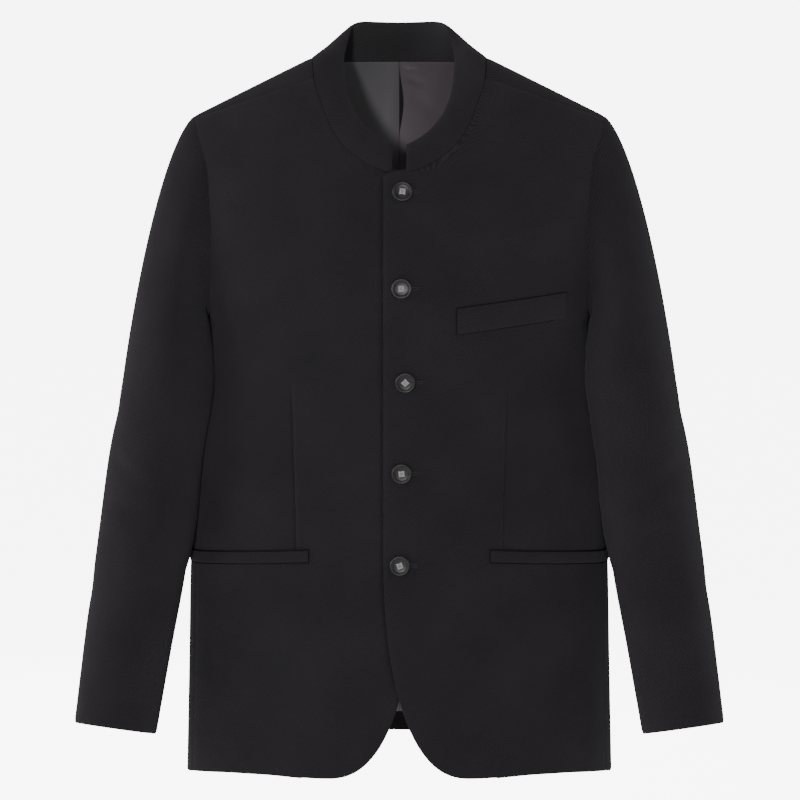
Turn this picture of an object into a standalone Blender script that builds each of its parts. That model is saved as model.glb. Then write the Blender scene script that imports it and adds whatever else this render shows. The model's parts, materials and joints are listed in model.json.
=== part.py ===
"""Stand-collar suit jacket, filled out as if worn, with nobody in it.

Metres. +Z is up, the front faces -Y and +X is the wearer's left. The origin is the middle of the neck,
level with the points where the shoulder ridges meet the collar. The body cloth lies on one smooth figure:
squared oval sections stacked by height, rounded over along the two shoulder ridges.
"""
import math
from collections import namedtuple

import bmesh
import bpy
import numpy as np
from mathutils import Matrix, Vector

# Cloth thicknesses, and the gaps left between sewn pieces
SHELL_CLOTH = 0.0020
COLLAR_CLOTH = 0.0026
LINING_CLOTH = 0.0010
WELT_CLOTH = 0.0014
SEAM_GAP = 0.0003
LAID_ON_GAP = 0.0007

# Faces of the figure, as the sign of Y
FRONT = -1
BACK = 1

# The figure
SQUARENESS = 2.4
SHOULDER_ROUNDING = 0.150
RIDGE_PEAK = 0.0448
RIDGE_FALL = 0.4994
RIDGE_SOFTENING = 0.020
GRADIENT_STEP = 1e-5

# Side seams, as angles round the body from the centre front
FRONT_SEAM_ANGLE = math.radians(73)
BACK_SEAM_ANGLE = math.radians(112)

# Front edge: straight past the centre line, then a rounded cutaway down to the hem
LAP_PAST_CENTRE = 0.0152
CUTAWAY_TOP = -0.500
CUTAWAY_END_X = 0.0768
FRONT_HEM = -0.7286
CUTAWAY_ACROSS_POWER = 2.5
CUTAWAY_DOWN_POWER = 2.2
LAP_LIFT = SHELL_CLOTH + 0.0006
LAP_FULL_X = 0.036
LAP_GONE_X = 0.080

# Lining
LINING_CLEARANCE = 0.0009
LINING_EDGE_INSET = 0.004
LINING_HEM_RISE = 0.0205
PLEAT_HALF_GAP = 0.0005
PLEAT_OPENING = 0.0045
PLEAT_TOP = -0.006
PLEAT_END = -0.090
PLEAT_FADE = 0.080

# The under sleeve runs from this line of the side body to this row of the back
UNDER_SLEEVE_SIDE_LINE = 2
UNDER_SLEEVE_BACK_ROW = 3
SLEEVE_SEAM_GAP = 0.0007

# Buttons: sew-through, dished, four holes
BUTTON_RADIUS = 0.0102
BUTTON_HOLE_RADIUS = 0.0010
BUTTON_HOLE_OFFSET = 0.0024
BUTTON_GAP = 0.0004
MERGE_DISTANCE = 1e-6

# Welts
HIP_WELT_OUTER_ANGLE = math.radians(99)
HIP_WELT_HEIGHT = 0.0125
CHEST_WELT_HEIGHT = 0.0245

WELT_ROW_SHARES = (0, 0.5, 1)

# How finely each piece is divided
FRONT_COLUMNS = 11
BACK_COLUMNS = 8
SIDE_COLUMNS = 6
CAP_ROWS = 9
ARM_ROWS = 9
COLLAR_ROWS = 4
WELT_COLUMNS = 12
BUTTON_SEGMENTS = 24
BUTTON_HOLE_SEGMENTS = 8

BodySection = namedtuple("BodySection", "height half_width front_depth back_depth")
BODY = (
    BodySection(-0.760, 0.2228, 0.1180, 0.1120),
    BodySection(-0.620, 0.2192, 0.1165, 0.1110),
    BodySection(-0.518, 0.2168, 0.1135, 0.1070),
    BodySection(-0.440, 0.2105, 0.1110, 0.1000),
    BodySection(-0.386, 0.2045, 0.1120, 0.0980),
    BodySection(-0.340, 0.2000, 0.1160, 0.1030),
    BodySection(-0.275, 0.1955, 0.1195, 0.1130),
    BodySection(-0.260, 0.2005, 0.1198, 0.1150),
    BodySection(-0.235, 0.2085, 0.1190, 0.1185),
    BodySection(-0.200, 0.2170, 0.1150, 0.1210),
    BodySection(-0.150, 0.2260, 0.1050, 0.1210),
    BodySection(-0.100, 0.2320, 0.0910, 0.1185),
    BodySection(-0.050, 0.2380, 0.0770, 0.1140),
    BodySection(0.000, 0.2380, 0.0665, 0.1100),
    BodySection(0.050, 0.2380, 0.0580, 0.1060),
)

Armhole = namedtuple("Armhole", "height x")
ARMHOLE = (
    Armhole(-0.2750, 0.1955),
    Armhole(-0.2500, 0.1930),
    Armhole(-0.2170, 0.1915),
    Armhole(-0.1834, 0.1912),
    Armhole(-0.1500, 0.1926),
    Armhole(-0.1250, 0.1942),
    Armhole(-0.1000, 0.1987),
    Armhole(-0.0835, 0.2046),
    Armhole(-0.0613, 0.2115),
)
ARMHOLE_BOTTOM = ARMHOLE[0].height
ARMHOLE_MIDDLE = (ARMHOLE[-1].height + ARMHOLE_BOTTOM) / 2
ARMHOLE_HALF_HEIGHT = (ARMHOLE[-1].height - ARMHOLE_BOTTOM) / 2
SHOULDER_SEAM_TURN = math.radians(10.5)
SEAMS_END_BELOW = -0.200
HALVINGS = 50

Hem = namedtuple("Hem", "degrees height")
HEM = (
    Hem(0, FRONT_HEM),
    Hem(17, FRONT_HEM),
    Hem(33, -0.7268),
    Hem(46, -0.7278),
    Hem(57, -0.7304),
    Hem(73, -0.7355),
    Hem(88, -0.7410),
    Hem(112, -0.7390),
    Hem(180, -0.7250),
)

# Rows of the front from the level of the armhole corner up to the shoulder seam
FrontRow = namedtuple("FrontRow", "edge_x edge_height")
FRONT_ROWS = (
    FrontRow(-0.0152, -0.2250),
    FrontRow(-0.0152, -0.1900),
    FrontRow(-0.0152, -0.1580),
    FrontRow(-0.0152, -0.1330),
    FrontRow(-0.0152, -0.1210),
    FrontRow(-0.0138, -0.1172),
    FrontRow(-0.0095, -0.1153),
    FrontRow(0.0080, -0.1148),
    FrontRow(0.0185, -0.1122),
    FrontRow(0.0280, -0.1085),
    FrontRow(0.0411, -0.1008),
    FrontRow(0.0573, -0.0871),
    FrontRow(0.0696, -0.0694),
    FrontRow(0.0758, -0.0556),
    FrontRow(0.0810, -0.0417),
    FrontRow(0.0852, -0.0307),
    FrontRow(0.0873, -0.0210),
)
COLLAR_STARTS_AT_ROW = 7

# Rows below the arms as shares of the way up from the hem, close together round the cutaway
LOWER_SHARES = (0, 0.002, 0.008, 0.02, 0.037, 0.06, 0.09, 0.13, 0.18,
                0.24, 0.31, 0.4, 0.51, 0.63, 0.75, 0.87, 1)

# Rows of the back from the level of the armhole corner, over the ridge, down to the shoulder seam in front
BackRow = namedtuple("BackRow", "edge_x edge_height face")
BACK_ROWS = (
    BackRow(0.0000, -0.2150, BACK),
    BackRow(0.0000, -0.1750, BACK),
    BackRow(0.0000, -0.1320, BACK),
    BackRow(0.0000, -0.0880, BACK),
    BackRow(0.0000, -0.0450, BACK),
    BackRow(0.0000, -0.0046, BACK),
    BackRow(0.0300, -0.0046, BACK),
    BackRow(0.0550, -0.0045, BACK),
    BackRow(0.0730, -0.0042, BACK),
    BackRow(0.0840, -0.0030, BACK),
    BackRow(0.0893, -0.0009, BACK),
    BackRow(0.0885, -0.0095, FRONT),
    BackRow(0.0873, -0.0210, FRONT),
)
BACK_NECK_FROM_ROW = 5
RIDGE_ROW = 10

# Top edge of the collar beside each point of the neck seam, from the centre front round to the centre back
CollarTop = namedtuple("CollarTop", "x y height")
COLLAR_TOP = (
    CollarTop(0.0080, -0.0840, -0.0867),
    CollarTop(0.0165, -0.0808, -0.0826),
    CollarTop(0.0241, -0.0770, -0.0779),
    CollarTop(0.0330, -0.0700, -0.0700),
    CollarTop(0.0420, -0.0610, -0.0590),
    CollarTop(0.0495, -0.0470, -0.0440),
    CollarTop(0.0525, -0.0370, -0.0335),
    CollarTop(0.0543, -0.0270, -0.0235),
    CollarTop(0.0555, -0.0170, -0.0140),
    CollarTop(0.0562, -0.0070, -0.0060),
    CollarTop(0.0562, 0.0020, 0.0010),
    CollarTop(0.0552, 0.0120, 0.0085),
    CollarTop(0.0528, 0.0300, 0.0225),
    CollarTop(0.0488, 0.0450, 0.0328),
    CollarTop(0.0400, 0.0555, 0.0353),
    CollarTop(0.0225, 0.0622, 0.0350),
    CollarTop(0.0000, 0.0640, 0.0346),
)
COLLAR_BULGE = 0.0045
COLLAR_GAP = 0.0008

SleeveSection = namedtuple("SleeveSection", "height x y half_width half_depth")
SLEEVE = (
    SleeveSection(-0.6833, 0.2908, -0.076, 0.0423, 0.0470),
    SleeveSection(-0.5963, 0.2782, -0.058, 0.0449, 0.0515),
    SleeveSection(-0.5142, 0.2652, -0.048, 0.0470, 0.0560),
    SleeveSection(-0.4316, 0.2538, -0.044, 0.0472, 0.0600),
    SleeveSection(-0.3334, 0.2396, -0.044, 0.0434, 0.0640),
)
SLEEVE_TOP_SECTION = SLEEVE[-1].height
SLEEVE_CUFF_SECTION = SLEEVE[0].height

# How the sleeve cap leaves the armhole: a direction, how far it holds it, and how long it takes to settle
CapStart = namedtuple("CapStart", "degrees out forward up reach settle")
CAP_START = (
    CapStart(0, 0.72, 0.00, -0.69, 0.040, 0.105),
    CapStart(90, 0.85, 0.45, -0.10, 0.035, 0.080),
    CapStart(180, 0.40, 0.05, 0.90, 0.012, 0.018),
    CapStart(270, 0.85, -0.40, -0.10, 0.035, 0.080),
    CapStart(360, 0.72, 0.00, -0.69, 0.040, 0.105),
)

# How much the first rings of the sleeve keep the direction of the body's cloth at the armhole
CAP_TURN_IN = (1.0, 0.5, 0.2)

ButtonSeat = namedtuple("ButtonSeat", "x height turn_degrees")
BUTTON_SEATS = (
    ButtonSeat(0.0032, -0.1342, -8),
    ButtonSeat(0.0021, -0.2292, 2),
    ButtonSeat(0.0059, -0.3230, 45),
    ButtonSeat(0.0023, -0.4158, 6),
    ButtonSeat(0.0005, -0.5092, 20),
)

# Half section of a button, from the middle of the back round to the middle of the dished face
ButtonProfile = namedtuple("ButtonProfile", "radius height")
BUTTON_PROFILE = (
    ButtonProfile(0.0, 0.0),
    ButtonProfile(0.0080, 0.0),
    ButtonProfile(BUTTON_RADIUS, 0.0014),
    ButtonProfile(BUTTON_RADIUS, 0.0024),
    ButtonProfile(0.0092, 0.0032),
    ButtonProfile(0.0078, 0.0030),
    ButtonProfile(0.0064, 0.0020),
    ButtonProfile(0.0, 0.0017),
)

WeltLine = namedtuple("WeltLine", "x height")
CHEST_WELT_TOP = (WeltLine(0.0581, -0.2500), WeltLine(0.1130, -0.2430), WeltLine(0.1672, -0.2366))
HIP_WELT_TOP = (WeltLine(0.0925, -0.4950), WeltLine(0.1450, -0.5012), WeltLine(0.1900, -0.5062),
                WeltLine(0.2230, -0.5070))

Paint = namedtuple("Paint", "name colour roughness")
BLACK_TWILL = Paint("black_twill", (0.016, 0.016, 0.018, 1.0), 0.85)
GREY_LINING = Paint("grey_lining", (0.075, 0.068, 0.072, 1.0), 0.45)
DARK_HORN = Paint("dark_horn", (0.035, 0.034, 0.036, 1.0), 0.35)


def smooth(knots, values, at):
    """Read a smooth curve through the given points that never swings past them."""
    knots = np.asarray(knots, dtype=float)
    values = np.asarray(values, dtype=float)
    at = np.asarray(at, dtype=float)
    step = np.diff(knots)
    rise = np.diff(values) / step
    before, after = rise[:-1], rise[1:]
    steady = before * after > 0
    weight_before = 2 * step[1:] + step[:-1]
    weight_after = step[1:] + 2 * step[:-1]
    harmonic = weight_before / np.where(steady, before, 1) + weight_after / np.where(steady, after, 1)
    inner = np.where(steady, (weight_before + weight_after) / np.where(steady, harmonic, 1), 0)
    slopes = np.concatenate(([rise[0]], inner, [rise[-1]]))
    index = np.clip(np.searchsorted(knots, at) - 1, 0, len(step) - 1)
    share = (at - knots[index]) / step[index]
    ease = share * share * (3 - 2 * share)
    lead_in = share * (1 - share) ** 2 * step[index] * slopes[index]
    lead_out = share ** 2 * (share - 1) * step[index] * slopes[index + 1]
    return values[index] * (1 - ease) + values[index + 1] * ease + lead_in + lead_out


def column(table, name, at):
    """Read one named column of a table along its first column."""
    knots = [row[0] for row in table]
    return smooth(knots, [getattr(row, name) for row in table], at)


def mix(start, end, share):
    return start + (end - start) * share


def ease(share):
    share = np.clip(share, 0, 1)
    return share * share * (3 - 2 * share)


def ridge(x):
    """Height of the shoulder ridge."""
    return RIDGE_PEAK - RIDGE_FALL * np.hypot(x, RIDGE_SOFTENING)


def drop_from_ridge(x, z):
    """Share of the shoulder rounding that a point lies below the ridge."""
    return (ridge(x) - z) / SHOULDER_ROUNDING


def depth_column(face, z):
    """Depth of the figure's front or back at a height."""
    return np.where(face < 0, column(BODY, "front_depth", z), column(BODY, "back_depth", z))


def figure_point(x, z, face):
    """Point of the figure seen at x and z from the front or from the back."""
    x, z, face = np.broadcast_arrays(np.asarray(x, float), np.asarray(z, float), face)
    across = np.clip(np.abs(x) / column(BODY, "half_width", z), 0, 1)
    share = np.clip(drop_from_ridge(x, z), 0, 1)
    rounding = np.sqrt(share * (2 - share))
    y = face * depth_column(face, z) * (1 - across ** SQUARENESS) ** (1 / SQUARENESS) * rounding
    return np.stack((x, y, z), axis=-1)


def figure_round(angle, z):
    """Point of the figure at an angle round it from the centre front, below the arms."""
    angle, z = np.broadcast_arrays(np.asarray(angle, float), np.asarray(z, float))
    power = 2 / SQUARENESS
    x = column(BODY, "half_width", z) * np.sin(angle) ** power
    face = np.where(np.cos(angle) > 0, FRONT, BACK)
    y = face * depth_column(face, z) * np.abs(np.cos(angle)) ** power
    return np.stack((x, y, z), axis=-1)


def figure_field(x, y, z, in_shoulder):
    """Value that is nothing on the figure and rises outwards."""
    depth = depth_column(y, z)
    across = np.abs(x) / column(BODY, "half_width", z)
    share = drop_from_ridge(x, z)
    width = np.clip(1 - across ** SQUARENESS, 0, 1) ** (2 / SQUARENESS)
    shoulder = (y / depth) ** 2 - width * share * (2 - share)
    trunk = across ** SQUARENESS + np.abs(y / depth) ** SQUARENESS - 1
    return np.where(in_shoulder, shoulder, trunk)


def figure_normal(points):
    """Outward direction of the figure at points lying on it."""
    x, y, z = points[..., 0], points[..., 1], points[..., 2]
    in_shoulder = drop_from_ridge(x, z) < 1
    parts = []
    for axis in np.eye(3) * GRADIENT_STEP:
        ahead = figure_field(x + axis[0], y + axis[1], z + axis[2], in_shoulder)
        behind = figure_field(x - axis[0], y - axis[1], z - axis[2], in_shoulder)
        parts.append(ahead - behind)
    return unit(np.stack(parts, axis=-1))


def unit(vectors):
    return vectors / np.linalg.norm(vectors, axis=-1, keepdims=True)


def seam_x(angle, z):
    """Half-width at which a side seam runs."""
    return column(BODY, "half_width", z) * math.sin(angle) ** (2 / SQUARENESS)


def armhole_corner(angle):
    """Height at which a side seam runs into the armhole."""
    low, high = ARMHOLE_BOTTOM, SEAMS_END_BELOW
    for _ in range(HALVINGS):
        middle = (low + high) / 2
        if column(ARMHOLE, "x", middle) > seam_x(angle, middle):
            low = middle
        else:
            high = middle
    return (low + high) / 2


def armhole_point(turn):
    """Point of the armhole at a turn from the shoulder tip through the front to the armpit and back."""
    z = ARMHOLE_MIDDLE + ARMHOLE_HALF_HEIGHT * np.cos(turn)
    face = np.where(np.sin(turn) > 0, FRONT, BACK)
    return figure_point(column(ARMHOLE, "x", z), z, face)


def corner_turn(angle):
    """Turn of the armhole at which a line at an angle round the body reaches it."""
    turn = math.acos(np.clip((armhole_corner(angle) - ARMHOLE_MIDDLE) / ARMHOLE_HALF_HEIGHT, -1, 1))
    return turn if angle < math.pi / 2 else 2 * math.pi - turn


def front_turns():
    """Turns of the armhole at the rows of the front, from above the side seam to the shoulder seam."""
    return np.linspace(corner_turn(FRONT_SEAM_ANGLE), SHOULDER_SEAM_TURN, len(FRONT_ROWS) + 1)[1:]


def side_turns():
    """Turns of the armhole at the lines of the side body, from its front seam to its back seam."""
    angles = np.linspace(FRONT_SEAM_ANGLE, BACK_SEAM_ANGLE, SIDE_COLUMNS + 1)
    return np.array([corner_turn(angle) for angle in angles])


def back_turns():
    """Turns of the armhole at the rows of the back, up to the ridge and over it to the shoulder seam."""
    full = 2 * math.pi
    rising = np.linspace(corner_turn(BACK_SEAM_ANGLE), full, RIDGE_ROW + 2)[1:]
    over = np.linspace(full, full + SHOULDER_SEAM_TURN, len(BACK_ROWS) - RIDGE_ROW)[1:]
    return np.concatenate((rising, over))


def front_edge(z):
    """Edge of the front, measured from the centre line towards the front's own side."""
    share = np.clip((CUTAWAY_TOP - z) / (CUTAWAY_TOP - FRONT_HEM), 0, 1)
    reach = CUTAWAY_END_X + LAP_PAST_CENTRE
    return CUTAWAY_END_X - reach * (1 - share ** CUTAWAY_DOWN_POWER) ** (1 / CUTAWAY_ACROSS_POWER)


def lap_lift(x):
    """Distance by which the upper front lies off the figure over the lower front."""
    return LAP_LIFT * (1 - ease((x - LAP_FULL_X) / (LAP_GONE_X - LAP_FULL_X)))


def towards_side(inner_x, outer_x, columns):
    """Places across a panel, closer together towards the side."""
    turn = np.sin(np.linspace(0, FRONT_SEAM_ANGLE, columns + 1))
    return mix(inner_x, outer_x, turn / turn[-1])


def lower_row(inner_x, outer_x, share, seam_angle, columns, face, hem_rise=0.0):
    """Row of a panel below the arms, a share of the way up from the hem to the armhole corner."""
    x = towards_side(inner_x, outer_x, columns)
    across = np.clip(np.abs(x) / column(BODY, "half_width", FRONT_HEM), 0, 1)
    angle = np.degrees(np.arcsin(across ** (SQUARENESS / 2)))
    hem = column(HEM, "height", angle if face == FRONT else 180 - angle) + hem_rise
    return figure_point(x, mix(hem, armhole_corner(seam_angle), share), face)


def upper_row(inner, outer, columns, face):
    """Row of a panel beside the armhole, at a steady distance below the shoulder ridge."""
    x = towards_side(inner[0], outer[0], columns)
    share = (x - inner[0]) / (outer[0] - inner[0])
    drop = mix(ridge(inner[0]) - inner[1], ridge(outer[0]) - outer[1], share)
    return figure_point(x, ridge(x) - drop, face)


def front_surface(lapped):
    """Outer face of one front as rows of points, and its outward directions."""
    corner = armhole_corner(FRONT_SEAM_ANGLE)
    hem_side = column(HEM, "height", math.degrees(FRONT_SEAM_ANGLE))
    half_gap = SEAM_GAP / 2
    rows = []
    for share in LOWER_SHARES:
        inner_x = front_edge(mix(FRONT_HEM, corner, share))
        outer_x = seam_x(FRONT_SEAM_ANGLE, mix(hem_side, corner, share)) - half_gap
        rows.append(lower_row(inner_x, outer_x, share, FRONT_SEAM_ANGLE, FRONT_COLUMNS, FRONT))
    for row, turn in zip(FRONT_ROWS, front_turns()):
        drop = half_gap if row is FRONT_ROWS[-1] else 0
        outer_x, _, outer_z = armhole_point(turn)
        inner = (row.edge_x, row.edge_height - drop)
        rows.append(upper_row(inner, (outer_x, outer_z - drop), FRONT_COLUMNS, FRONT))
    points = np.stack(rows)
    normals = figure_normal(points)
    if lapped:
        points = points + normals * lap_lift(points[..., :1])
    return points, normals


def back_surface(last_row, hem_rise=0.0, side_inset=0.0):
    """Outer face of one half of the back as rows of points, and its outward directions."""
    corner = armhole_corner(BACK_SEAM_ANGLE)
    hem_side = column(HEM, "height", math.degrees(BACK_SEAM_ANGLE)) + hem_rise
    half_gap = SEAM_GAP / 2
    rows = []
    for share in LOWER_SHARES:
        outer_x = seam_x(BACK_SEAM_ANGLE, mix(hem_side, corner, share)) - half_gap - side_inset
        rows.append(lower_row(half_gap, outer_x, share, BACK_SEAM_ANGLE, BACK_COLUMNS, BACK, hem_rise))
    for row, turn in zip(BACK_ROWS[:last_row + 1], back_turns()):
        rise = half_gap if row is BACK_ROWS[-1] else 0
        outer_x, _, outer_z = armhole_point(turn)
        inner = (max(row.edge_x, half_gap), row.edge_height + rise)
        rows.append(upper_row(inner, (outer_x - side_inset, outer_z + rise), BACK_COLUMNS, row.face))
    points = np.stack(rows)
    return points, figure_normal(points)


def side_surface():
    """Outer face of one side body as rows of points, and its outward directions."""
    margin = SEAM_GAP / 2 / BODY[0].half_width
    angles = np.linspace(FRONT_SEAM_ANGLE + margin, BACK_SEAM_ANGLE - margin, SIDE_COLUMNS + 1)
    hem = column(HEM, "height", np.degrees(angles))
    top = np.array([armhole_corner(angle) for angle in angles])
    rows = [figure_round(angles, mix(hem, top, share)) for share in LOWER_SHARES]
    points = np.stack(rows)
    return points, figure_normal(points)


def lining_surface(opening):
    """Face of one half of the back lining towards the back, and its outward directions."""
    points, _ = back_surface(RIDGE_ROW - 1, LINING_HEM_RISE, LINING_EDGE_INSET)
    z = points[..., 2]
    along = np.clip((PLEAT_TOP - z) / (PLEAT_TOP - PLEAT_END), 0, 1)
    gap = PLEAT_HALF_GAP + opening * np.sin(along * math.pi) ** 2
    near_middle = np.clip(1 - points[..., 0] / PLEAT_FADE, 0, 1)
    x = points[..., 0] + gap * near_middle
    moved = figure_point(x, z, BACK)
    normals = figure_normal(moved)
    return moved - normals * (SHELL_CLOTH + LINING_CLEARANCE), normals


def neck_seam():
    """Neck seam of one side from collar end to centre back, its directions, and the lap's lift."""
    front = FRONT_ROWS[COLLAR_STARTS_AT_ROW:]
    over = BACK_ROWS[RIDGE_ROW + 1:RIDGE_ROW + 2]
    behind = BACK_ROWS[BACK_NECK_FROM_ROW:RIDGE_ROW + 1][::-1]
    x = np.array([row.edge_x for row in front + over + behind])
    z = np.array([row.edge_height for row in front + over + behind])
    face = np.array([FRONT] * (len(front) + len(over)) + [BACK] * len(behind))
    points = figure_point(x, z, face)
    normals = figure_normal(points)
    return points, normals, normals * np.where(face == FRONT, lap_lift(x), 0)[:, None]


def mirrored(points):
    return points * np.array((-1, 1, 1))


def collar_surface():
    """Outer face of the collar from the wearer's right end round to the left, seam edge first."""
    half_seam, half_normals, lift = neck_seam()
    half_top = np.array(COLLAR_TOP)
    seam = np.concatenate((mirrored(half_seam), (half_seam + lift)[-2::-1]))
    seam_normals = np.concatenate((mirrored(half_normals), half_normals[-2::-1]))
    top = np.concatenate((mirrored(half_top), (half_top + lift)[-2::-1]))
    up = unit(top - seam)
    along = unit(np.gradient(seam + top, axis=0, edge_order=2))
    outward = unit(np.cross(up, along))
    start = seam + up * COLLAR_GAP
    rows = []
    for share in np.linspace(0, 1, COLLAR_ROWS + 1):
        bulge = COLLAR_BULGE * 4 * share * (1 - share)
        rows.append(mix(start, top, share) + outward * bulge)
    points = np.stack(rows)
    normals = -grid_normals(points, around=False)
    normals[0] = seam_normals
    return points, normals


def grid_normals(points, around):
    """Directions square to a grid of points, outward where the rows follow each other downwards."""
    if around:
        wrapped = np.concatenate((points[:, -1:], points, points[:, :1]), axis=1)
        across = np.gradient(wrapped, axis=1)[:, 1:-1]
    else:
        across = np.gradient(points, axis=1, edge_order=2)
    down = np.gradient(points, axis=0, edge_order=2)
    return unit(np.cross(across, down))


def sleeve_ring(z, turn):
    """Section of the sleeve square to its run, and the direction down the sleeve."""
    def centre(height):
        return np.array([column(SLEEVE, name, height) for name in ("x", "y")] + [height])

    down = unit(centre(z - GRADIENT_STEP) - centre(z + GRADIENT_STEP))
    outward = unit(np.array((1.0, 0.0, 0.0)) - down * down[0])
    forward = np.cross(down, outward)
    half_width = column(SLEEVE, "half_width", z)
    half_depth = column(SLEEVE, "half_depth", z)
    ring = (centre(z) + np.outer(np.cos(turn) * half_width, outward)
            + np.outer(np.sin(turn) * half_depth, forward))
    return ring, down


def sleeve_surface():
    """Outer face of the whole sleeve as rings below the armhole's own points, and its directions."""
    turn = np.concatenate((side_turns(), back_turns(), 2 * math.pi + front_turns()[-2::-1]))
    degrees = np.degrees(turn) % 360
    start = armhole_point(turn)
    start_normals = figure_normal(start)
    lead = unit(np.stack((column(CAP_START, "out", degrees), -column(CAP_START, "forward", degrees),
                          column(CAP_START, "up", degrees)), axis=-1))
    start = start + lead * SEAM_GAP
    end, down = sleeve_ring(SLEEVE_TOP_SECTION, turn)
    hold = start + lead * column(CAP_START, "reach", degrees)[:, None]
    settle = end - down * column(CAP_START, "settle", degrees)[:, None]
    rings = []
    for share in np.linspace(0, 1, CAP_ROWS + 1):
        rest = 1 - share
        rings.append(start * rest ** 3 + hold * 3 * rest ** 2 * share + settle * 3 * rest * share ** 2
                     + end * share ** 3)
    for z in np.linspace(SLEEVE_TOP_SECTION, SLEEVE_CUFF_SECTION, ARM_ROWS + 1)[1:]:
        rings.append(sleeve_ring(z, turn)[0])
    points = np.stack(rings)
    normals = grid_normals(points, around=True)
    for ring, hold_share in enumerate(CAP_TURN_IN):
        normals[ring] = unit(mix(normals[ring], start_normals, hold_share))
    return points, normals


def sleeve_parts(points, normals):
    """Split the whole sleeve into its under and top pieces, parted by the seam gap."""
    first_under = UNDER_SLEEVE_SIDE_LINE
    last_under = SIDE_COLUMNS + 1 + UNDER_SLEEVE_BACK_ROW
    under = np.arange(first_under, last_under + 1)
    top = np.concatenate((np.arange(last_under, points.shape[1]), np.arange(first_under + 1)))
    pieces = []
    for columns in (under, top):
        piece = points[:, columns].copy()
        for edge, inside in ((0, 1), (-1, -2)):
            piece[:, edge] += unit(piece[:, inside] - piece[:, edge]) * SLEEVE_SEAM_GAP / 2
        pieces.append((piece, normals[:, columns]))
    return pieces


def welt_surface(line, height, outer_angle=None):
    """Outer face of a pocket welt laid on the front, top edge first, and its outward directions."""
    knots = [point.x for point in line]
    x = np.linspace(knots[0], knots[-1], WELT_COLUMNS + 1)
    top = smooth(knots, [point.height for point in line], x)
    rows = []
    for share in WELT_ROW_SHARES:
        z = top - height * share
        if outer_angle is None:
            rows.append(figure_point(x, z, FRONT))
        else:
            first = math.asin((x[0] / column(BODY, "half_width", z[0])) ** (SQUARENESS / 2))
            rows.append(figure_round(np.linspace(first, outer_angle, WELT_COLUMNS + 1), z))
    points = np.stack(rows)
    normals = figure_normal(points)
    off = LAID_ON_GAP + WELT_CLOTH + lap_lift(points[..., :1])
    return points + normals * off, normals


def paint_material(paint):
    material = bpy.data.materials.get(paint.name)
    if material is None:
        material = bpy.data.materials.new(paint.name)
        material.use_nodes = True
        shader = material.node_tree.nodes["Principled BSDF"]
        shader.inputs["Base Color"].default_value = paint.colour
        shader.inputs["Roughness"].default_value = paint.roughness
    return material


def add_object(name, mesh_builder, paint):
    """Add one named object from a filled bmesh."""
    mesh = bpy.data.meshes.new(name)
    bmesh.ops.recalc_face_normals(mesh_builder, faces=mesh_builder.faces[:])
    mesh_builder.to_mesh(mesh)
    mesh_builder.free()
    mesh.materials.append(paint_material(paint))
    item = bpy.data.objects.new(name, mesh)
    bpy.context.scene.collection.objects.link(item)
    return item


def add_cloth(name, points, normals, thickness, paint, mirror=False):
    """Add a cloth wall whose outer face is a grid of points and whose inner face lies inside it."""
    faces = (points, points - normals * thickness)
    if mirror:
        faces = tuple(mirrored(face) for face in faces)
    builder = bmesh.new()
    sheets = [[[builder.verts.new(point) for point in row] for row in face] for face in faces]
    rows, columns = points.shape[:2]
    for sheet in sheets:
        for r in range(rows - 1):
            for c in range(columns - 1):
                builder.faces.new((sheet[r][c], sheet[r][c + 1], sheet[r + 1][c + 1], sheet[r + 1][c]))
    rim = [(0, c) for c in range(columns - 1)]
    rim += [(r, columns - 1) for r in range(rows - 1)]
    rim += [(rows - 1, c) for c in range(columns - 1, 0, -1)]
    rim += [(r, 0) for r in range(rows - 1, 0, -1)]
    outer, inner = sheets
    for (r, c), (next_r, next_c) in zip(rim, rim[1:] + rim[:1]):
        builder.faces.new((outer[r][c], outer[next_r][next_c], inner[next_r][next_c], inner[r][c]))
    return add_object(name, builder, paint)


def button_frame(seat):
    """Place a button on the lapped front, its face outwards."""
    place = figure_point(seat.x, seat.height, FRONT)
    outward = figure_normal(place)
    base = place + outward * (lap_lift(seat.x) + BUTTON_GAP)
    face = Vector(outward).to_track_quat("Z", "Y").to_matrix().to_4x4()
    turn = Matrix.Rotation(math.radians(seat.turn_degrees), 4, "Z")
    return Matrix.Translation(Vector(base)) @ face @ turn


def add_button(name, seat):
    """Add one turned button with four sewing holes."""
    builder = bmesh.new()
    profile = [builder.verts.new((point.radius, 0, point.height)) for point in BUTTON_PROFILE]
    edges = [builder.edges.new(pair) for pair in zip(profile, profile[1:])]
    bmesh.ops.spin(builder, geom=profile + edges, cent=(0, 0, 0), axis=(0, 0, 1), angle=2 * math.pi,
                   steps=BUTTON_SEGMENTS, use_merge=True)
    bmesh.ops.remove_doubles(builder, verts=builder.verts[:], dist=MERGE_DISTANCE)
    button = add_object(name, builder, DARK_HORN)
    button.matrix_world = button_frame(seat)

    drill = bmesh.new()
    for across in (-1, 1):
        for along in (-1, 1):
            offset = Vector((across, along, 0)) * BUTTON_HOLE_OFFSET
            bmesh.ops.create_cone(drill, cap_ends=True, segments=BUTTON_HOLE_SEGMENTS,
                                  radius1=BUTTON_HOLE_RADIUS, radius2=BUTTON_HOLE_RADIUS,
                                  depth=BUTTON_RADIUS, matrix=Matrix.Translation(offset))
    cutter = add_object(name + "_holes", drill, DARK_HORN)
    cutter.matrix_world = button_frame(seat)
    cutter.hide_render = True
    cutter.display_type = "WIRE"
    cut = button.modifiers.new("sewing_holes", "BOOLEAN")
    cut.operation = "DIFFERENCE"
    cut.solver = "EXACT"
    cut.object = cutter


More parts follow.
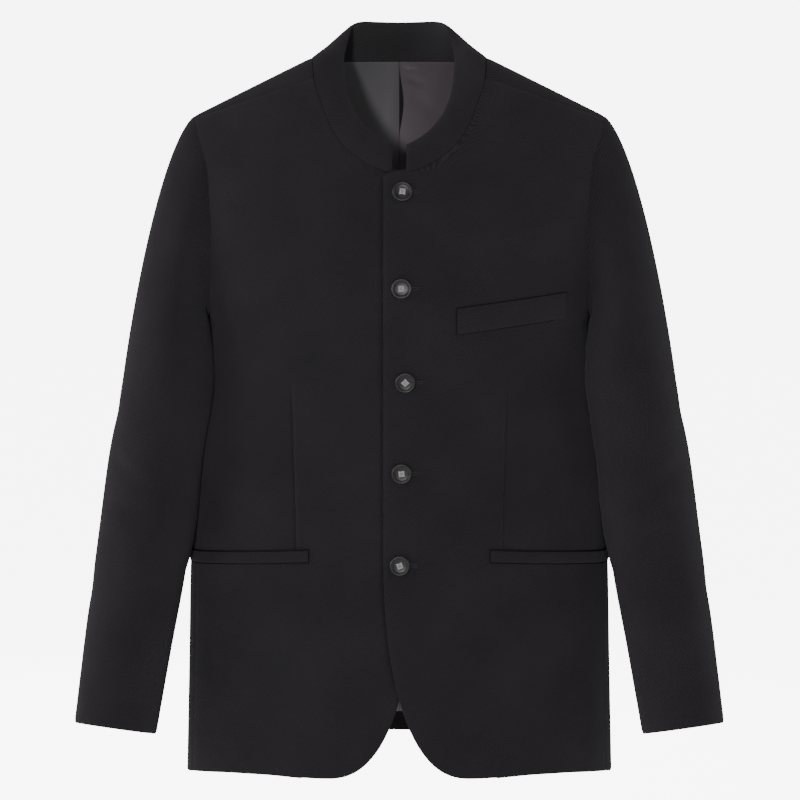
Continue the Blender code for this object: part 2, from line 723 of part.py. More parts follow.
def main():
    for item in list(bpy.data.objects):
        bpy.data.objects.remove(item, do_unlink=True)

    side = side_surface()
    back = back_surface(len(BACK_ROWS) - 1)
    under_sleeve, top_sleeve = sleeve_parts(*sleeve_surface())
    hip_welt = welt_surface(HIP_WELT_TOP, HIP_WELT_HEIGHT, HIP_WELT_OUTER_ANGLE)
    for hand, mirror in (("left", False), ("right", True)):
        opening = 0 if mirror else PLEAT_OPENING
        add_cloth(f"front_{hand}", *front_surface(not mirror), SHELL_CLOTH, BLACK_TWILL, mirror)
        add_cloth(f"side_{hand}", *side, SHELL_CLOTH, BLACK_TWILL, mirror)
        add_cloth(f"back_{hand}", *back, SHELL_CLOTH, BLACK_TWILL, mirror)
        add_cloth(f"under_sleeve_{hand}", *under_sleeve, SHELL_CLOTH, BLACK_TWILL, mirror)
        add_cloth(f"top_sleeve_{hand}", *top_sleeve, SHELL_CLOTH, BLACK_TWILL, mirror)
        add_cloth(f"lining_{hand}", *lining_surface(opening), LINING_CLOTH, GREY_LINING, mirror)
        add_cloth(f"hip_welt_{hand}", *hip_welt, WELT_CLOTH, BLACK_TWILL, mirror)
    add_cloth("collar", *collar_surface(), COLLAR_CLOTH, BLACK_TWILL)
    add_cloth("chest_welt", *welt_surface(CHEST_WELT_TOP, CHEST_WELT_HEIGHT), WELT_CLOTH, BLACK_TWILL)
    for number, seat in enumerate(BUTTON_SEATS, start=1):
        add_button(f"button_{number}", seat)


main()
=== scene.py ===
"""Looks of the stand-collar suit jacket: cloth shells, sewing, buttons, finishes, light and camera.

Metres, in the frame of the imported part: +Z is up, the front faces -Y and +X is the wearer's left.
"""

import json
import logging
import math
from dataclasses import dataclass
from enum import Enum
from typing import NamedTuple, Optional, Sequence

import bmesh
import bpy
import numpy as np
from mathutils import Matrix, Vector
from mathutils.kdtree import KDTree
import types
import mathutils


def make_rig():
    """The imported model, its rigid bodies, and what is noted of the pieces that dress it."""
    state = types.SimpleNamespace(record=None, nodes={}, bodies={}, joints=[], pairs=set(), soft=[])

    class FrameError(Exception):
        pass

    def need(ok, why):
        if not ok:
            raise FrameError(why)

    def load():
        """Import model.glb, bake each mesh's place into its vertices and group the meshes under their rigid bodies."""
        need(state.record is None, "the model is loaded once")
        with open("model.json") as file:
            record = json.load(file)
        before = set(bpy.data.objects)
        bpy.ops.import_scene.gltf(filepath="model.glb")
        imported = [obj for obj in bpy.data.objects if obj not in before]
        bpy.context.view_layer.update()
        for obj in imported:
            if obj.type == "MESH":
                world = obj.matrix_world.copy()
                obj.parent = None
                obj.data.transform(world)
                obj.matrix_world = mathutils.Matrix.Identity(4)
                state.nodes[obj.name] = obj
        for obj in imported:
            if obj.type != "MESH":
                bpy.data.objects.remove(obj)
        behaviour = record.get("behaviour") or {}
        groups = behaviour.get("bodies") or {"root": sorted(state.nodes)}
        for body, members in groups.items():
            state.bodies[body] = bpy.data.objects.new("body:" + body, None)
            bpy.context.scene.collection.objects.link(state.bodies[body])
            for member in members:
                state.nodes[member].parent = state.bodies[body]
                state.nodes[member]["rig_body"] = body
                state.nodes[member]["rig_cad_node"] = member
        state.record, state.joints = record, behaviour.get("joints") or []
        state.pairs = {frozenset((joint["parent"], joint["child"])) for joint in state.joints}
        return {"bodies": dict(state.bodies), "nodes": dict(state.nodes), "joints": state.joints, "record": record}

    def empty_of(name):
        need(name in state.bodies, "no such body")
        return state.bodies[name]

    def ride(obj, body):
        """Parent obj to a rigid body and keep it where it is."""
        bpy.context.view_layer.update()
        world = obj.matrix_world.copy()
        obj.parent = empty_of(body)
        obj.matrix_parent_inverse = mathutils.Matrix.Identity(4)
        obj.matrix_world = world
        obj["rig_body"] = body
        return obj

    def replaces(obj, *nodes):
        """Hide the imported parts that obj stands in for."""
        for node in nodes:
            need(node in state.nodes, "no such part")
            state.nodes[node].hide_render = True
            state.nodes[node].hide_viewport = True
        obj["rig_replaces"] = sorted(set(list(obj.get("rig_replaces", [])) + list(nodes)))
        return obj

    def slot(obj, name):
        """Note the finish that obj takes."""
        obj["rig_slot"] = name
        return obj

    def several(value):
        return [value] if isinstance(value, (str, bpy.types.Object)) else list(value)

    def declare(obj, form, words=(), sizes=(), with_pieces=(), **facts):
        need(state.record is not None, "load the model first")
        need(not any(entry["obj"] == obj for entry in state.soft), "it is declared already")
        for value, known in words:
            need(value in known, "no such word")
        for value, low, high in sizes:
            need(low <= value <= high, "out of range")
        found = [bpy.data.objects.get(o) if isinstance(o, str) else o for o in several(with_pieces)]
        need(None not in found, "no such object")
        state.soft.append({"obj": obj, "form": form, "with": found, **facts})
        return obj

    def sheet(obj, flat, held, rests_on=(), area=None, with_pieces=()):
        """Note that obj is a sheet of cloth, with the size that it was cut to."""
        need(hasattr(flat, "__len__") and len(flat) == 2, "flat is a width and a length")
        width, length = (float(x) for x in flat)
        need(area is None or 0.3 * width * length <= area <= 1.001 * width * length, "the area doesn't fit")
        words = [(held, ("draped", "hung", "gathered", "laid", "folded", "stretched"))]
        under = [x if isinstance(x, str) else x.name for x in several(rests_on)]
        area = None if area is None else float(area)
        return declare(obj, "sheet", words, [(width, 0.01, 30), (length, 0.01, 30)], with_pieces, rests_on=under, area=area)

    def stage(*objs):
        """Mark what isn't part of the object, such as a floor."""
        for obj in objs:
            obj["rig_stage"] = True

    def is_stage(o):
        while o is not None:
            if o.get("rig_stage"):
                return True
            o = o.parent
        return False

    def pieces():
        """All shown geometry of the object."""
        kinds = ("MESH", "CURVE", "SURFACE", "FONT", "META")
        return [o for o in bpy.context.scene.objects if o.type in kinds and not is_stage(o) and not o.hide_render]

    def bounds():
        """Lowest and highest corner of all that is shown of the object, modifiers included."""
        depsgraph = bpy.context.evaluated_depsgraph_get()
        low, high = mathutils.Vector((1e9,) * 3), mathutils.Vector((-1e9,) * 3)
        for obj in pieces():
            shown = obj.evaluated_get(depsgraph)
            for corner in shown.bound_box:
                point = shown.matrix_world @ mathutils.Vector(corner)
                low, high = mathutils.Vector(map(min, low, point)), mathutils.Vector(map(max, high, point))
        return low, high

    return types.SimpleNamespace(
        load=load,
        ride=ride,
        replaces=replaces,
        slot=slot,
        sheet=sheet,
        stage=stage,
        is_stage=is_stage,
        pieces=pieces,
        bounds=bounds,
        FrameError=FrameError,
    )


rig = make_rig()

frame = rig.load()
CAD_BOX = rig.bounds()
LOG = logging.getLogger("jacket")
Array = np.ndarray
Item = bpy.types.Object
Material = bpy.types.Material
Socket = bpy.types.NodeSocket
Tree = bpy.types.NodeTree
SIZE_FILE = "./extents.json"
CUT_MAP = "cut"
Colour = tuple[float, float, float, float]
TINY = 1e-12


class Hand(Enum):
    """Side of the wearer a piece belongs to; the value is the sign of X."""

    LEFT = 1
    RIGHT = -1

    @property
    def word(self) -> str:
        """Name of the side in node names."""
        return self.name.lower()


class Face(Enum):
    """Face of the figure; the value is the sign of Y."""

    FRONT = -1
    BACK = 1


class Slot(Enum):
    """Material slots of the record."""

    TWILL = "black_twill"
    LINING = "grey_lining"
    HORN = "dark_horn"


class Edge(Enum):
    """How an edge of a cloth piece is finished."""

    SEAM = "sewn to a neighbour"
    FOLD = "folded back on itself"


class Held(Enum):
    """How a piece of cloth is held."""

    HUNG = "hung"
    LAID = "laid"
    STRETCHED = "stretched"


class BodySection(NamedTuple):
    """Section of the figure at a height."""

    height: float
    half_width: float
    front_depth: float
    back_depth: float


class ArmholePoint(NamedTuple):
    """Place of the armhole edge at a height."""

    height: float
    x: float


class HemPoint(NamedTuple):
    """Height of the hem at an angle round the body."""

    degrees: float
    height: float


class EdgePoint(NamedTuple):
    """Inner edge of a panel at one of its rows."""

    x: float
    height: float


class CollarTop(NamedTuple):
    """Top edge of the collar beside a point of the neck seam."""

    x: float
    y: float
    height: float


class SleeveSection(NamedTuple):
    """Section of the sleeve at a height."""

    height: float
    x: float
    y: float
    half_width: float
    half_depth: float


class CapStart(NamedTuple):
    """How the sleeve cap leaves the armhole at a turn round it."""

    degrees: float
    out: float
    forward: float
    up: float
    reach: float
    settle: float


class ButtonSeat(NamedTuple):
    """Place of a button on the lapped front."""

    x: float
    height: float
    turn_degrees: float


class Crease(NamedTuple):
    """Soft trough (negative depth) or ridge of a panel, in the panel's cut coordinates."""

    start_u: float
    start_v: float
    end_u: float
    end_v: float
    width: float
    depth: float


class Mouth(NamedTuple):
    """How far the dark mouth strip, painted shade of the pocket's slit, shows round its welt."""

    above: float
    below: float
    beside: float


class Cut(NamedTuple):
    """Flat cut of what shows of a cloth piece; the area is given where it isn't a rectangle."""

    width: float
    length: float
    area: Optional[float] = None


def table(kind: type, rows: Sequence[tuple[float, ...]]) -> tuple:
    """Give each row of a table the column names of its kind."""
    return tuple(kind(*row) for row in rows)


def smooth(knots: Sequence[float], values: Array, at: Array) -> Array:
    """Read a smooth curve through points that never swings past them.

    Args:
        knots: Rising places of the points.
        values: Values at the knots, along the first axis.
        at: Places to read the curve at.

    Returns:
        The values at those places.
    """
    knots = np.asarray(knots, dtype=float)
    values = np.asarray(values, dtype=float)
    at = np.asarray(at, dtype=float)
    step = np.diff(knots)
    rise = np.diff(values) / step
    before, after = rise[:-1], rise[1:]
    steady = before * after > 0
    weight_before = 2 * step[1:] + step[:-1]
    weight_after = step[1:] + 2 * step[:-1]
    harmonic = weight_before / np.where(steady, before, 1) + weight_after / np.where(steady, after, 1)
    inner = np.where(steady, (weight_before + weight_after) / np.where(steady, harmonic, 1), 0)
    slopes = np.concatenate(([rise[0]], inner, [rise[-1]]))
    index = np.clip(np.searchsorted(knots, at) - 1, 0, len(step) - 1)
    share = (at - knots[index]) / step[index]
    eased = share * share * (3 - 2 * share)
    lead_in = share * (1 - share) ** 2 * step[index] * slopes[index]
    lead_out = share ** 2 * (share - 1) * step[index] * slopes[index + 1]
    return values[index] * (1 - eased) + values[index + 1] * eased + lead_in + lead_out


def column(rows: Sequence[NamedTuple], name: str, at: Array) -> Array:
    """Read one named column of a table along its first column."""
    return smooth([row[0] for row in rows], [getattr(row, name) for row in rows], at)


def mix(start: Array, end: Array, share: Array) -> Array:
    """Blend two values."""
    return start + (end - start) * share


def ease(share: Array) -> Array:
    """Smooth step from 0 to 1."""
    share = np.clip(share, 0, 1)
    return share * share * (3 - 2 * share)


def unit(vectors: Array) -> Array:
    """Scale vectors to length 1."""
    return vectors / np.maximum(np.linalg.norm(vectors, axis=-1, keepdims=True), TINY)


def add_object(name: str, data: bpy.types.ID) -> Item:
    """Make an object and put it in the scene.

    Args:
        name: Name of the object.
        data: Its mesh, light or camera.

    Returns:
        The object.
    """
    item = bpy.data.objects.new(name, data)
    bpy.context.scene.collection.objects.link(item)
    return item


def grid_normals(points: Array, around: bool) -> Array:
    """Directions square to a grid of points.

    Args:
        points: Rows of points.
        around: Whether the rows close on themselves.

    Returns:
        Unit directions, outward where rows follow each other downwards and columns run to the left.
    """
    if around:
        wrapped = np.concatenate((points[:, -1:], points, points[:, :1]), axis=1)
        across = np.gradient(wrapped, axis=1)[:, 1:-1]
    else:
        across = np.gradient(points, axis=1, edge_order=2)
    return unit(np.cross(across, np.gradient(points, axis=0, edge_order=2)))


@dataclass(frozen=True)
class FigureSizes:
    """Sizes of the figure that the body's cloth lies on."""

    squareness: float = 2.4
    shoulder_rounding: float = 0.150
    ridge_peak: float = 0.0448
    ridge_fall: float = 0.4994
    ridge_softening: float = 0.020
    gradient_step: float = 1e-5
    sections: tuple[BodySection, ...] = table(BodySection, (
        (-0.760, 0.2228, 0.1180, 0.1120),
        (-0.620, 0.2192, 0.1165, 0.1110),
        (-0.518, 0.2168, 0.1135, 0.1070),
        (-0.440, 0.2105, 0.1110, 0.1000),
        (-0.386, 0.2045, 0.1120, 0.0980),
        (-0.340, 0.2000, 0.1160, 0.1030),
        (-0.275, 0.1955, 0.1195, 0.1130),
        (-0.260, 0.2005, 0.1198, 0.1150),
        (-0.235, 0.2085, 0.1190, 0.1185),
        (-0.200, 0.2170, 0.1150, 0.1210),
        (-0.150, 0.2260, 0.1050, 0.1210),
        (-0.100, 0.2320, 0.0910, 0.1185),
        (-0.050, 0.2380, 0.0770, 0.1140),
        (0.000, 0.2380, 0.0665, 0.1100),
        (0.050, 0.2380, 0.0580, 0.1060),
    ))


@dataclass
class Figure:
    """Smooth figure of squared oval sections, rounded over along the shoulder ridges."""

    sizes: FigureSizes

    def half_width(self, z: Array) -> Array:
        """Half-width of the figure."""
        return column(self.sizes.sections, "half_width", z)

    def depth(self, face: Array, z: Array) -> Array:
        """Depth of the front or back."""
        front = column(self.sizes.sections, "front_depth", z)
        return np.where(np.asarray(face) < 0, front, column(self.sizes.sections, "back_depth", z))

    def ridge(self, x: Array) -> Array:
        """Height of the shoulder ridge."""
        return self.sizes.ridge_peak - self.sizes.ridge_fall * np.hypot(x, self.sizes.ridge_softening)

    def drop(self, x: Array, z: Array) -> Array:
        """Share of the shoulder rounding that a point lies below the ridge."""
        return (self.ridge(x) - z) / self.sizes.shoulder_rounding

    def point(self, x: Array, z: Array, face: Array) -> Array:
        """Points of the figure seen at x and z from the front or the back.

        Args:
            x: Distances from the centre.
            z: Heights.
            face: Sign of Y.

        Returns:
            The points.
        """
        x, z, face = np.broadcast_arrays(np.asarray(x, float), np.asarray(z, float), face)
        across = np.clip(np.abs(x) / self.half_width(z), 0, 1)
        share = np.clip(self.drop(x, z), 0, 1)
        power = self.sizes.squareness
        y = face * self.depth(face, z) * (1 - across ** power) ** (1 / power) * np.sqrt(share * (2 - share))
        return np.stack((x, y, z), axis=-1)

    def round(self, angle: Array, z: Array) -> Array:
        """Points at an angle round the figure from the centre front, below the arms.

        Args:
            angle: Angles in radians.
            z: Heights.

        Returns:
            The points.
        """
        angle, z = np.broadcast_arrays(np.asarray(angle, float), np.asarray(z, float))
        power = 2 / self.sizes.squareness
        face = np.where(np.cos(angle) > 0, Face.FRONT.value, Face.BACK.value)
        x = self.half_width(z) * np.sin(angle) ** power
        y = face * self.depth(face, z) * np.abs(np.cos(angle)) ** power
        return np.stack((x, y, z), axis=-1)

    def field(self, x: Array, y: Array, z: Array, in_shoulder: Array) -> Array:
        """Value that is nothing on the figure and rises outwards.

        Args:
            x: Distances from the centre.
            y: Depths.
            z: Heights.
            in_shoulder: Where the shoulder rounding acts.

        Returns:
            The values.
        """
        power = self.sizes.squareness
        depth = self.depth(y, z)
        across = np.abs(x) / self.half_width(z)
        share = self.drop(x, z)
        width = np.clip(1 - across ** power, 0, 1) ** (2 / power)
        shoulder = (y / depth) ** 2 - width * share * (2 - share)
        trunk = across ** power + np.abs(y / depth) ** power - 1
        return np.where(in_shoulder, shoulder, trunk)

    def normal(self, points: Array) -> Array:
        """Outward directions of the figure.

        Args:
            points: Points on the figure.

        Returns:
            Unit directions there.
        """
        x, y, z = points[..., 0], points[..., 1], points[..., 2]
        in_shoulder = self.drop(x, z) < 1
        parts = []
        for axis in np.eye(3) * self.sizes.gradient_step:
            ahead = self.field(x + axis[0], y + axis[1], z + axis[2], in_shoulder)
            behind = self.field(x - axis[0], y - axis[1], z - axis[2], in_shoulder)
            parts.append(ahead - behind)
        return unit(np.stack(parts, axis=-1))


@dataclass(frozen=True)
class PatternSizes:
    """Lines of the cut on the figure: seams, armhole, hem, front edge and necks."""

    front_seam: float = math.radians(73)
    back_seam: float = math.radians(112)
    seam_gap: float = 0.00004
    lap_past_centre: float = 0.0152
    cutaway_top: float = -0.500
    cutaway_end_x: float = 0.0768
    front_hem: float = -0.7286
    cutaway_across_power: float = 2.5
    cutaway_down_power: float = 2.2
    lap_lift: float = 0.0026
    lap_full_x: float = 0.036
    lap_gone_x: float = 0.080
    shoulder_seam_turn: float = math.radians(10.5)
    seams_end_below: float = -0.200
    armhole: tuple[ArmholePoint, ...] = table(ArmholePoint, (
        (-0.2750, 0.1955),
        (-0.2500, 0.1930),
        (-0.2170, 0.1915),
        (-0.1834, 0.1912),
        (-0.1500, 0.1926),
        (-0.1250, 0.1942),
        (-0.1000, 0.1987),
        (-0.0835, 0.2046),
        (-0.0613, 0.2115),
    ))
    hem: tuple[HemPoint, ...] = table(HemPoint, (
        (0, -0.7286),
        (17, -0.7286),
        (33, -0.7268),
        (46, -0.7278),
        (57, -0.7304),
        (73, -0.7355),
        (88, -0.7410),
        (112, -0.7390),
        (180, -0.7250),
    ))
    front_edge: tuple[EdgePoint, ...] = table(EdgePoint, (
        (-0.0152, -0.2250),
        (-0.0152, -0.1900),
        (-0.0152, -0.1580),
        (-0.0152, -0.1330),
        (-0.0152, -0.1210),
        (-0.0138, -0.1172),
        (-0.0095, -0.1153),
        (0.0080, -0.1148),
        (0.0185, -0.1122),
        (0.0280, -0.1085),
        (0.0411, -0.1008),
        (0.0573, -0.0871),
        (0.0696, -0.0694),
        (0.0758, -0.0556),
        (0.0810, -0.0417),
        (0.0852, -0.0307),
        (0.0873, -0.0210),
    ))
    collar_from: int = 7
    buttons: tuple[ButtonSeat, ...] = table(ButtonSeat, (
        (0.0032, -0.1342, -8),
        (0.0021, -0.2292, 2),
        (0.0059, -0.3230, 45),
        (0.0023, -0.4158, 6),
        (0.0005, -0.5092, 20),
    ))
    back_edge: tuple[EdgePoint, ...] = table(EdgePoint, (
        (0.0000, -0.2150),
        (0.0000, -0.1750),
        (0.0000, -0.1320),
        (0.0000, -0.0880),
        (0.0000, -0.0450),
        (0.0000, -0.0046),
        (0.0300, -0.0046),
        (0.0550, -0.0045),
        (0.0730, -0.0042),
        (0.0840, -0.0030),
        (0.0893, -0.0009),
        (0.0885, -0.0095),
        (0.0873, -0.0210),
    ))
    back_neck_from: int = 5
    ridge_row: int = 10


@dataclass
class Pattern:
    """The jacket's cut drawn on the figure."""

    HALVINGS = 50

    figure: Figure
    sizes: PatternSizes

    def __post_init__(self) -> None:
        """Work out the armhole's middle and where the seams of the side body run into it."""
        armhole = self.sizes.armhole
        self.armhole_bottom = armhole[0].height
        self.armhole_middle = (armhole[-1].height + self.armhole_bottom) / 2
        self.armhole_half = (armhole[-1].height - self.armhole_bottom) / 2
        self.front_corner = self.corner(self.sizes.front_seam)
        self.back_corner = self.corner(self.sizes.back_seam)

    def seam_x(self, angle: float, z: Array) -> Array:
        """Half-width at which a line round the body runs."""
        return self.figure.half_width(z) * math.sin(angle) ** (2 / self.figure.sizes.squareness)

    def corner(self, angle: float) -> float:
        """Height at which a line up the body runs into the armhole.

        Args:
            angle: Angle of the line from the centre front.

        Returns:
            The height.
        """
        low, high = self.armhole_bottom, self.sizes.seams_end_below
        for _ in range(self.HALVINGS):
            middle = (low + high) / 2
            if column(self.sizes.armhole, "x", middle) > self.seam_x(angle, middle):
                low = middle
            else:
                high = middle
        return (low + high) / 2

    def corner_turn(self, angle: float) -> float:
        """Turn round the armhole at which a line up the body reaches it."""
        turn = math.acos(np.clip((self.corner(angle) - self.armhole_middle) / self.armhole_half, -1, 1))
        return turn if angle < math.pi / 2 else 2 * math.pi - turn

    def armhole(self, turn: Array) -> Array:
        """Points of the armhole.

        Args:
            turn: Turns from the shoulder tip through the front to the armpit and back.

        Returns:
            The points.
        """
        z = self.armhole_middle + self.armhole_half * np.cos(turn)
        face = np.where(np.sin(turn) > 0, Face.FRONT.value, Face.BACK.value)
        return self.figure.point(column(self.sizes.armhole, "x", z), z, face)

    def hem(self, x: Array, face: Face) -> Array:
        """Height of the hem.

        Args:
            x: Distances from the centre.
            face: Front or back.

        Returns:
            The heights.
        """
        across = np.clip(np.abs(x) / self.figure.half_width(self.sizes.front_hem), 0, 1)
        angle = np.degrees(np.arcsin(across ** (self.figure.sizes.squareness / 2)))
        return column(self.sizes.hem, "height", angle if face is Face.FRONT else 180 - angle)

    def front_edge(self, z: Array) -> Array:
        """Edge of the front below the chest, with its rounded cutaway.

        Args:
            z: Heights.

        Returns:
            Distances from the centre towards the front's own side.
        """
        sizes = self.sizes
        share = np.clip((sizes.cutaway_top - z) / (sizes.cutaway_top - sizes.front_hem), 0, 1)
        reach = sizes.cutaway_end_x + sizes.lap_past_centre
        kept = (1 - share ** sizes.cutaway_down_power) ** (1 / sizes.cutaway_across_power)
        return sizes.cutaway_end_x - reach * kept

    def lift(self, x: Array) -> Array:
        """Distance by which the upper front lies off the figure over the lower front."""
        sizes = self.sizes
        return sizes.lap_lift * (1 - ease((x - sizes.lap_full_x) / (sizes.lap_gone_x - sizes.lap_full_x)))


@dataclass
class Grid:
    """Outer face of a cloth piece as rows of points, with directions and cut coordinates."""

    points: Array
    normals: Array
    cut: Array

    def part(self, columns: Array) -> "Grid":
        """Take some columns."""
        return Grid(self.points[:, columns].copy(), self.normals[:, columns], self.cut[:, columns])


def body_cut(points: Array) -> Array:
    """Cut coordinates of a body panel: across from the centre line, and along its height.

    Args:
        points: Rows of points from the hem up.

    Returns:
        Coordinates in metres for each point.
    """
    across = np.linalg.norm(np.diff(points[..., :2], axis=1), axis=-1)
    u = np.concatenate((points[:, :1, 0], points[:, :1, 0] + np.cumsum(across, axis=1)), axis=1)
    along = np.linalg.norm(np.diff(points[..., 1:], axis=0), axis=-1)
    v = np.concatenate((points[:1, :, 2], points[:1, :, 2] + np.cumsum(along, axis=0)), axis=0)
    return np.stack((u, v), axis=-1)


@dataclass(frozen=True)
class Relief:
    """Folds of a panel, as distances along its outward directions."""

    TAPER_POWER = 0.8

    creases: Sequence[Crease] = ()

    def at(self, cut: Array) -> Array:
        """Height of the folds.

        Args:
            cut: Cut coordinates.

        Returns:
            Distances along the outward directions.
        """
        total = np.zeros(cut.shape[:-1])
        for crease in self.creases:
            start = np.array((crease.start_u, crease.start_v))
            run = np.array((crease.end_u, crease.end_v)) - start
            length = np.linalg.norm(run)
            along = (cut - start) @ run / length ** 2
            side = ((cut[..., 0] - start[0]) * run[1] - (cut[..., 1] - start[1]) * run[0]) / length
            taper = np.clip(along * (1 - along) * 4, 0, 1) ** self.TAPER_POWER
            total += crease.depth * taper * np.exp(-(side / crease.width) ** 2)
        return total


@dataclass(frozen=True)
class EdgeFinish:
    """Finish of the four edges of a panel; fold_rows ends the first column's fold at that row."""

    first_row: Edge
    last_row: Edge
    first_column: Edge
    last_column: Edge
    fold_rows: Optional[int] = None


@dataclass
class ClothShell:
    """Thin closed cloth wall made from the grid of its outer face.

    The grid is the wearer's left one, and the hand says which side to make it for. The thickness is one for
    all or one for each point. weave_across is 1 where the cut's width runs to the right as seen from outside,
    or else -1.
    """

    FOLD_PUSH = 0.42
    FOLD_TUCK = 0.30
    SHARP_ABOVE = math.radians(48)

    name: str
    grid: Grid
    thickness: Array | float
    edges: EdgeFinish
    relief: Relief = Relief()
    hand: Hand = Hand.LEFT
    weave_across: int = 1

    def __post_init__(self) -> None:
        """Spread the thickness over the grid."""
        self.thickness = np.broadcast_to(self.thickness, self.grid.points.shape[:2])[..., None]

    def rim(self) -> list[tuple[int, int]]:
        """Places round the grid's rim.

        Returns:
            Row and column numbers, once round.
        """
        rows, columns = self.grid.points.shape[:2]
        places = [(0, c) for c in range(columns - 1)]
        places += [(r, columns - 1) for r in range(rows - 1)]
        places += [(rows - 1, c) for c in range(columns - 1, 0, -1)]
        return places + [(r, 0) for r in range(rows - 1, 0, -1)]

    def faces(self) -> tuple[Array, Array, Array]:
        """Outer face, inner face and middle line of the rim.

        Returns:
            Points of the three, the last as a full grid used at its rim only.
        """
        grid = self.grid
        outer = grid.points + grid.normals * self.relief.at(grid.cut)[..., None]
        inner = outer - grid.normals * self.thickness
        middle = (outer + inner) / 2
        sides = (
            (self.edges.first_row, (0, slice(None)), (1, slice(None))),
            (self.edges.last_row, (-1, slice(None)), (-2, slice(None))),
            (self.edges.first_column, (slice(self.edges.fold_rows), 0), (slice(self.edges.fold_rows), 1)),
            (self.edges.last_column, (slice(None), -1), (slice(None), -2)),
        )
        tuck = self.thickness * self.FOLD_TUCK
        for edge, at, inside in sides:
            if edge is Edge.FOLD:
                away = unit(grid.points[at] - grid.points[inside])
                middle[at] = middle[at] + away * self.thickness[at] * self.FOLD_PUSH
                outer[at] = outer[at] - grid.normals[at] * tuck[at]
                inner[at] = inner[at] + grid.normals[at] * tuck[at]
        return outer, inner, middle

    def build(self) -> Item:
        """Make the mesh object.

        Returns:
            The object, linked to the scene.
        """
        outer, inner, middle = self.faces()
        rows, columns = outer.shape[:2]
        count = rows * columns
        rim = self.rim()
        rim_index = np.array([r * columns + c for r, c in rim])
        rim_points = np.array([middle[r, c] for r, c in rim])
        points = np.concatenate((outer.reshape(-1, 3), inner.reshape(-1, 3), rim_points))
        cut = np.concatenate((self.grid.cut.reshape(-1, 2),) * 2 + (self.grid.cut.reshape(-1, 2)[rim_index],))
        cut = cut * np.array((self.weave_across, 1))
        corner = (np.arange(rows - 1)[:, None] * columns + np.arange(columns - 1)).ravel()
        quads = np.stack((corner, corner + 1, corner + columns + 1, corner + columns), axis=-1)
        following = np.roll(np.arange(len(rim)), -1)
        near = rim_index
        far = rim_index[following]
        mid_near = 2 * count + np.arange(len(rim))
        mid_far = 2 * count + following
        upper = np.stack((far, near, mid_near, mid_far), axis=-1)
        lower = np.stack((mid_far, mid_near, near + count, far + count), axis=-1)
        faces = np.concatenate((quads, quads[:, ::-1] + count, upper, lower))
        normal = np.cross(outer[0, 1] - outer[0, 0], outer[1, 0] - outer[0, 0])
        flip = float(np.dot(normal, self.grid.normals[0, 0])) < 0
        if self.hand is Hand.RIGHT:
            points = points * np.array((-1, 1, 1))
            cut = cut * np.array((-1, 1))
            flip = not flip
        if flip:
            faces = faces[:, ::-1]
        mesh = bpy.data.meshes.new(self.name)
        mesh.from_pydata(points.tolist(), [], faces.tolist())
        layer = mesh.uv_layers.new(name=CUT_MAP)
        loops = np.zeros(len(mesh.loops), dtype=np.int32)
        mesh.loops.foreach_get("vertex_index", loops)
        layer.data.foreach_set("uv", cut[loops].astype(np.float32).ravel())
        mesh.shade_smooth()
        mesh.set_sharp_from_angle(angle=self.SHARP_ABOVE)
        return add_object(self.name, mesh)


